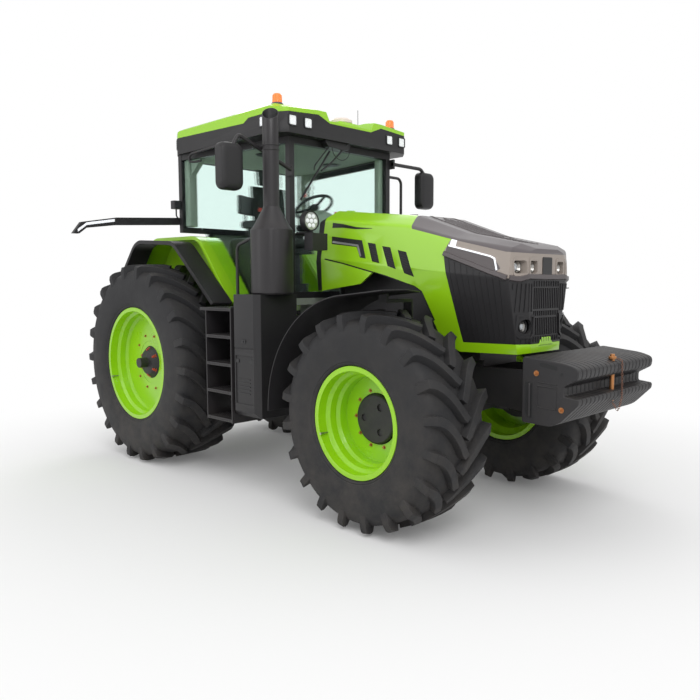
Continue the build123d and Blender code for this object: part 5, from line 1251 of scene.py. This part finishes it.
first, stack = new_forms(2)
add_prism(first, soften(PLATE_OUTLINE, PLATE_RADII), "y", -STACK_END, PLATE_T - STACK_END)
stack.from_mesh(repeated(first, grid_tree, paint["cast_black"], Across=PLATES, Step=(0, PLATE_PITCH, 0),
                         Rows=1, Rise=(0, 0, 0)))
(back, right, base), (front, left, top) = CARRIER_LOW, CARRIER_HIGH
add_prism(stack, [(back, right), (front, right), (front, left), (back, left)], "z", base, top)
finish_piece(stack, "front_plates", "chassis", "cast_black", 0.008, ("front_weights",))
print("plates", PLATES, "over", round(PLATES * PLATE_PITCH, 3), "m")

# %% [markdown]
# ## Hubs, bolts and valves
# Each wheel is held by a ring of bolts, and each rim has a valve for its air or ballast water. The
# ring tree repeats one bolt round the axle. On the rear wheels a scalloped ring joins the rim to the
# disc that is clamped on the bar axle.

# %% Wheel fittings
WEDGE_BOLTS = 6
SCALLOPS = 10
VALVE_ANGLE = math.radians(200)
REAR_AXLE_Z = 0.990
# columns: end, axle x and height, disc face |y|, bolt circle radius, bolts, rim face |y|, valve radius
FITTINGS = (
    ("front", FRONT, 0.795, 0.940, 0.212, 10, 1.30, 0.352),
    ("rear", REAR, REAR_AXLE_Z, 1.046, 0.275, 10, 1.34, 0.50),
)
red_zinc = finish_material("red_primer_bolt", colour(176, 66, 44), 0.5, drift=0.2, bump=0.1, dust=0.04)


def bolt(bm, x, y, z, s, head=0.016, rise=0.016):
    """A hexagon head on a washer, facing outwards along Y."""
    for radius, sides, low, high in ((head * 1.45, 20, -0.003, 0.004), (head, 6, 0, rise),
                                     (head * 0.5, 12, 0, rise + 0.012)):
        add_prism(bm, circle((x, z), radius, sides), "y", *sorted((y + s * low, y + s * high)))


for end, axle_x, axle_z, disc_y, circle_r, count, rim_y, valve_r in FITTINGS:
    for label, s in SIDES:
        body = f"wheel_{end}_{label}"
        first, valve = new_forms(2)
        bolt(first, axle_x, s * (disc_y + 0.001), axle_z + circle_r, s)
        bolts = repeated(first, ring_tree, paint["pin_steel"], Count=count, Start=0.3,
                         Centre=(axle_x, 0, axle_z))
        finish_piece(bolts, f"bolts_{end}_{label}", body, "pin_steel", 0.0012)
        x, y, z = (axle_x + valve_r * math.cos(VALVE_ANGLE), s * (rim_y - 0.16),
                   axle_z + valve_r * math.sin(VALVE_ANGLE))
        add_tube(valve, [(x, y, z), (x, y + s * 0.06, z)], 0.006, 10)
        add_tube(valve, [(x, y + s * 0.045, z), (x, y + s * 0.075, z)], 0.009, 10)
        finish_piece(valve, f"valve_{end}_{label}", body, "steel")

# the rear wheels' scalloped rings and wedge bolts
for label, s in SIDES:
    ring, first = new_forms(2)
    scallop = [(a, 0.345 - 0.02 * (0.5 + 0.5 * math.cos(SCALLOPS * a))) for a in turns(120)]
    skin(ring, [[Vector((REAR + r * math.cos(a), s * d, REAR_AXLE_Z + r * math.sin(a))) for a, r in scallop]
                for d in (1.046, 1.058)])
    finish_piece(ring, f"scalloped_ring_{label}", f"wheel_rear_{label}", "rim_paint", 0.002)
    bolt(first, REAR, s * 1.075, REAR_AXLE_Z + 0.125, s, head=0.02, rise=0.02)
    wedges = repeated(first, ring_tree, red_zinc, Count=WEDGE_BOLTS, Start=0.0,
                      Centre=(REAR, 0, REAR_AXLE_Z))
    finish_piece(wedges, f"wedge_bolts_{label}", f"wheel_rear_{label}", "pin_steel", 0.0015,
                 material=red_zinc)

# %% [markdown]
# ## Steps and side box
# The treads are punched so that mud falls through and boots grip. Here the grip is a field of small
# round studs, a grid of one stud per tread. The box beside them has a lid seam and a latch.

# %% Tread studs, box latch
STEP_BACK = -0.3625
TREADS = ((0.618, 0.885), (0.858, 0.885), (1.098, 0.885), (1.338, 0.885), (1.574, 0.72))   # height, inner |y|
STUD_PITCH = 0.026

for label, s in SIDES:
    field = bmesh.new()
    for z, inner_y in TREADS:
        stud, dot = new_forms(2)
        add_prism(stud, circle((STEP_BACK + 0.022, s * inner_y), 0.007, 8), "z", z - 0.001, z + 0.004)
        add_prism(dot, circle((STEP_BACK + 0.03, z - 0.014), 0.006, 8), "y", *both(s, 1.18, 1.182))
        for form, across, rows in ((stud, 13, int((1.17 - inner_y) / STUD_PITCH)), (dot, 12, 1)):
            field.from_mesh(repeated(form, grid_tree, paint["black_steel"], Across=across,
                                     Step=(STUD_PITCH, 0, 0), Rows=rows, Rise=(0, s * STUD_PITCH, 0)))
    finish_piece(field, f"tread_studs_{label}", "chassis", "black_steel")

latch = bmesh.new()
add_slab(latch, (0.155, 1.285), (0.215, 1.315), 0.008, "y", -1.186, -1.172)
add_prism(latch, circle((0.185, 1.3), 0.008, 16), "y", -1.19, -1.186)
for x in (0.09, 0.28):
    add_slab(latch, (x - 0.02, 1.12), (x + 0.02, 1.15), 0.005, "y", -1.178, -1.168)
for k in range(5):
    low, high = 0.86 + 0.03 * k, 0.868 + 0.03 * k
    add_prism(latch, [(0.10, low), (0.26, low), (0.26, high), (0.10, high)], "y", -1.1765, -1.170)
finish_piece(latch, "box_fittings", "chassis", "dark_plastic", 0.001, material=housing_black)

# %% [markdown]
# ## Lamps on the cowl, mirrors and marker arms
# The round lamps beside the hood are clusters of light cells behind a clear lens. The marker arms at
# the back carry a strip of light at their tips. The mirror heads are moulded shells, so their edges
# get a wide, soft bevel.

# %% Cowl lamps
COWL_LAMP_Y, COWL_LAMP_Z = 0.75, 2.291
# columns: distance ahead of the lamp's face, radius
LAMP_RING = ((-0.004, 0.070), (0.008, 0.073), (0.009, 0.081), (-0.01, 0.084))
LAMP_FACE = ((-0.002, 0.001), (-0.002, 0.071), (0.004, 0.071), (0.005, 0.001))
LAMP_CELL = ((0.003, 0.001), (0.003, 0.019), (0.010, 0.016), (0.012, 0.001))

refined("side_lamps", bevel=0.004)
lamp_skin = skin_tree("side_lamps")
rings, faces, cells = new_forms(3)
for s in (1, -1):
    y = s * COWL_LAMP_Y
    face_x = cast((2.0, y, COWL_LAMP_Z), (-1, 0, 0), lamp_skin)[0].x
    hexagon = circle((y, COWL_LAMP_Z), 0.043, 6)
    for form, profile, spots, steps in ((rings, LAMP_RING, [(y, COWL_LAMP_Z)], 48),
                                        (faces, LAMP_FACE, [(y, COWL_LAMP_Z)], 48),
                                        (cells, LAMP_CELL, hexagon + [(y, COWL_LAMP_Z)], 16)):
        for spot in spots:
            add_lathe(form, [(face_x + d, r) for d, r in profile], (0, *spot), steps, "x")
finish_piece(rings, "cowl_lamp_rings", "chassis", "dark_plastic", material=housing_black)
finish_piece(faces, "cowl_lamp_reflectors", "chassis", "steel", material=silver_line)
finish_piece(cells, "cowl_lamp_cells", "chassis", "lamp", material=lamp_white)

# %% Mirrors
MIRROR_X = FRONT - 1.29
ARM_Y, PAD_BACK = 0.648, 0.1375
# columns: distance ahead of the arm, share of the full width
SHELL = ((0.044, 0.55), (0.040, 0.78), (0.030, 0.91), (0.012, 0.975), (-0.015, 1.0), (-0.045, 1.0),
         (-0.054, 0.975))
# columns: side, middle |y| and height of the head, height of the arm's root and of its outer bend
MIRRORS = ((1, 1.165, 2.735, 2.95, 2.95), (-1, 1.29, 2.714, 2.75, 2.972))
mirror_glass = finish_material("mirror_glass", colour(205, 210, 214), 0.04, metallic=1.0, drift=0.0, bump=0.0,
                               dust=0.0)

heads, arms, glass = new_forms(3)
for s, y_mid, z_mid, root_z, bend_z in MIRRORS:
    y = s * y_mid
    rows = []
    for ahead, share in SHELL:
        half_w, half_h = 0.112 - 0.116 * (1 - share), 0.186 - 0.116 * (1 - share)
        outline = round_outline((y - half_w, z_mid - half_h), (y + half_w, z_mid + half_h),
                                min(0.055, half_w * 0.9), 6)
        rows.append([Vector((MIRROR_X + ahead, u, v)) for u, v in outline])
    skin(heads, rows)
    add_slab(glass, (y - 0.095, z_mid - 0.168), (y + 0.095, z_mid + 0.168), 0.045, "x",
             MIRROR_X - 0.0555, MIRROR_X - 0.05)
    add_tube(arms, rounded([(MIRROR_X, s * ARM_Y, root_z), (MIRROR_X, s * (y_mid - 0.08), bend_z),
                            (MIRROR_X, s * (y_mid - 0.03), z_mid + 0.17)], 0.03), 0.0175, 14)
    pad_front, pad_y, pad_out = MIRROR_X + 0.017, s * ARM_Y, s * (ARM_Y + 0.02)
    add_prism(arms, [(PAD_BACK, pad_y), (pad_front, pad_y), (pad_front, pad_out), (PAD_BACK, pad_out)],
              "z", root_z - 0.045, root_z + 0.045)
finish_piece(heads, "mirror_heads", "chassis", "dark_plastic", 0.003, ("mirrors",))
finish_piece(arms, "mirror_arms", "chassis", "black_steel")
finish_piece(glass, "mirror_glass", "chassis", "steel", material=mirror_glass)

# %% Exhaust with painted shade in its bore
STACK = (FRONT - 1.195, -0.955)
BORE = 0.0635

stack_look = refined("exhaust", bevel=0.002)
stack_look.data.materials.append(vent_black_and_painted_shade)
# the faces inside the bore get the near-black finish: painted shade inside the pipe
for face in stack_look.data.polygons:
    corners = [stack_look.data.vertices[i].co for i in face.vertices]
    if all(math.hypot(c.x - STACK[0], c.y - STACK[1]) < BORE for c in corners):
        face.material_index = 1

# %% Front mudguards
# their front edge runs back towards the hood, so the inner corner is trimmed away
for label, s in SIDES:
    guard = refined(f"mudguard_{label}", bevel=0.002)
    bm = bmesh.new()
    bm.from_mesh(guard.data)
    for at, normal in (((FRONT + 0.143, s * 0.65, 0), (0.6, -s * 0.30, 0)),
                       ((FRONT + 0.315, 0, 0), (1, 0, 0))):
        cut = bmesh.ops.bisect_plane(bm, geom=bm.verts[:] + bm.edges[:] + bm.faces[:], plane_co=at,
                                     plane_no=normal, clear_outer=True)
        rim = [e for e in cut["geom_cut"] if isinstance(e, bmesh.types.BMEdge)]
        bmesh.ops.holes_fill(bm, edges=rim)
    bm.to_mesh(guard.data)
    bm.free()
    print(guard.name, "trimmed to", len(guard.data.polygons), "faces")

# %% Marker arms with light strips, rear-view camera on the right fender
strip, eye = new_forms(2)
for s in (1, -1):
    line = [(s * 1.52, 2.372), (s * 1.79, 2.326), (s * 1.875, 2.262)]
    for (ay, az), (by, bz) in zip(line, line[1:]):
        add_prism(strip, [(ay, az - 0.012), (by, bz - 0.012), (by, bz + 0.012), (ay, az + 0.012)], "x",
                  FRONT - 2.82, FRONT - 2.814)
finish_piece(strip, "marker_lights", "chassis", "lamp", 0.001, material=light_guide)
add_slab(eye, (-1.35, -0.918), (-1.275, -0.832), 0.014, "z", 2.52, 2.60)
add_tube(eye, rounded([(-1.312, -0.875, 2.525), (-1.312, -0.875, 2.45), (-1.33, -0.83, 2.42)], 0.02),
         0.008, 8)
finish_piece(eye, "rear_camera", "chassis", "dark_plastic", 0.004, material=housing_black)

# %% [markdown]
# ## Weight fittings and tow pin
# The plates are pressed together by a long bolt. The end plates have a hand hole, two bolt heads and a
# hook bar. The hand hole and the hook hollow are not cut: near-black patches on the end plates are
# painted shade for them. The tow pin hangs on a short chain of round links.

# %% Weight fittings
# outlines of the hand hole and the hook hollow, filled with near-black patches as painted shade
HAND_HOLE = [(2.575, 1.262), (2.70, 1.242), (2.70, 1.214), (2.575, 1.234)]
HOOK_HOLLOW = [(2.47, 1.125), (2.525, 1.12), (2.525, 0.885), (2.49, 0.89), (2.47, 0.93)]

zinc, hooks, dark, raised = new_forms(4)
for s in (1, -1):
    face_y = s * STACK_END
    for x, z in ((2.551, 1.186), (2.735, 0.962)):
        bolt(zinc, x, face_y, z, s, head=0.013, rise=0.012)
    root_y, bar_y = s * (STACK_END - 0.005), s * (STACK_END + 0.006)
    add_tube(hooks, rounded([(2.505, root_y, 1.11), (2.505, bar_y, 1.11), (2.505, bar_y, 0.90),
                             (2.505, root_y, 0.90)], 0.008), 0.010, 10)
    # painted shade: near-black patches over the hand hole, a bolt hole and the hook hollow
    for outline in (soften(HAND_HOLE, [0.012] * 4), circle((2.732, 1.192), 0.011, 20), HOOK_HOLLOW):
        add_prism(dark, outline, "y", *both(s, STACK_END - 0.004, STACK_END + 0.001))
    for z in (1.13, 1.105, 0.965):
        add_tube(raised, [(2.56, face_y, z), (2.70, face_y, z - 0.006)], 0.004, 8)
    for x in (2.56, 2.70):
        add_tube(raised, [(x, face_y, 1.10), (x, face_y, 0.965)], 0.003, 8)
finish_piece(zinc, "weight_bolts", "chassis", "pin_steel", 0.001)
finish_piece(hooks, "hook_bars", "chassis", "cast_black")
finish_piece(dark, "weight_hollows", "chassis", "cast_black", material=vent_black_and_painted_shade)
finish_piece(raised, "weight_ridges", "chassis", "cast_black")

# %% Pin chain
LINK_PITCH, LINK_LONG, LINK_WIDE, WIRE = 0.0165, 0.0115, 0.0062, 0.0016
CHAIN_FRONT = 2.8595           # no link reaches ahead of this
CHAIN_PATH = [(2.8005, 0.026, 1.262), (2.853, 0.04, 1.246), (2.8565, 0.042, 0.99), (2.835, 0.035, 0.89),
              (2.802, 0.012, 0.955)]
chain_steel = finish_material("chain_steel", colour(140, 104, 88), 0.45, metallic=0.8, drift=0.4, bump=0.1)

hang = rounded(CHAIN_PATH, 0.02)
chain = bmesh.new()
spent, number = 0.0, 0
for a, b in zip(hang, hang[1:]):
    reach, run = (b - a).length, (b - a).normalized()
    while number * LINK_PITCH <= spent + reach:
        middle = a + (b - a) * ((number * LINK_PITCH - spent) / reach)
        flat = run.orthogonal().normalized()
        side = flat if number % 2 else run.cross(flat)
        link = [middle + run * LINK_LONG * math.cos(t) + side * LINK_WIDE * math.sin(t) for t in turns(14)]
        add_tube(chain, [(min(p.x, CHAIN_FRONT), p.y, p.z) for p in link + link[:1]], WIRE, 6)
        number += 1
    spent += reach
finish_piece(chain, "pin_chain", "chassis", "pin_steel", material=chain_steel)
print("chain links", number, "outside pieces", len(made))

# %% Low lamps
# a small chrome bowl and lens sit in each pocket of the mesh, with a dark ring round them
LOW_LAMP_Y, LOW_LAMP_Z = 0.250, 1.465
LAMP_BACK = FRONT + 0.7365
# columns: distance ahead of the lamp's back, radius
SMALL_LENS = ((0.022, 0.0005), (0.018, 0.019), (0.010, 0.022), (0.008, 0.0005))
SMALL_RING = ((0, 0.0385), (0, 0.0515), (0.029, 0.0515), (0.029, 0.049), (0.018, 0.0385))
SMALL_BOWL = ((0, 0.0005), (0, 0.0382), (0.016, 0.0382), (0.014, 0.035), (0.004, 0.014), (0.003, 0.0005))


def add_low_pair(bm, profile, steps):
    """A turned form in both low pockets."""
    for s in (1, -1):
        add_lathe(bm, [(LAMP_BACK + d, r) for d, r in profile], (0, s * LOW_LAMP_Y, LOW_LAMP_Z), steps, "x")


def small_lenses(bm):
    """The low lamp discs make way for small lenses; the upper lamps stay."""
    bmesh.ops.delete(bm, geom=[v for v in bm.verts if v.co.z < 1.6], context="VERTS")
    add_low_pair(bm, SMALL_LENS, 32)


refined("headlamps", bevel=0.001, extra=small_lenses)
rings, bowls = new_forms(2)
add_low_pair(rings, SMALL_RING, 40)
add_low_pair(bowls, SMALL_BOWL, 40)
finish_piece(rings, "low_lamp_rings", "hood", "dark_plastic", 0.001)
finish_piece(bowls, "low_lamp_bowls", "hood", "steel")

# %% [markdown]
# ## The rest of the solids
# Castings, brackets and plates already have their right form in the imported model. They only miss the
# small round edges that real parts have, so each gets a bevelled copy. The width follows the piece:
# a casting has softer edges than a pressed plate.

# %% Bevelled copies
PLAIN_EDGE = 0.003
EDGE = {"knuckle": 0.005, "front_axle": 0.006, "engine": 0.006, "transmission": 0.006, "hitch": 0.004,
        "rim": 0.002, "glass": 0.001, "steps": 0.002}
for node_name in sorted(nodes):
    if not nodes[node_name].hide_render:
        refined(node_name, bevel=next((width for key, width in EDGE.items() if key in node_name), PLAIN_EDGE))
print("pieces", len(made))
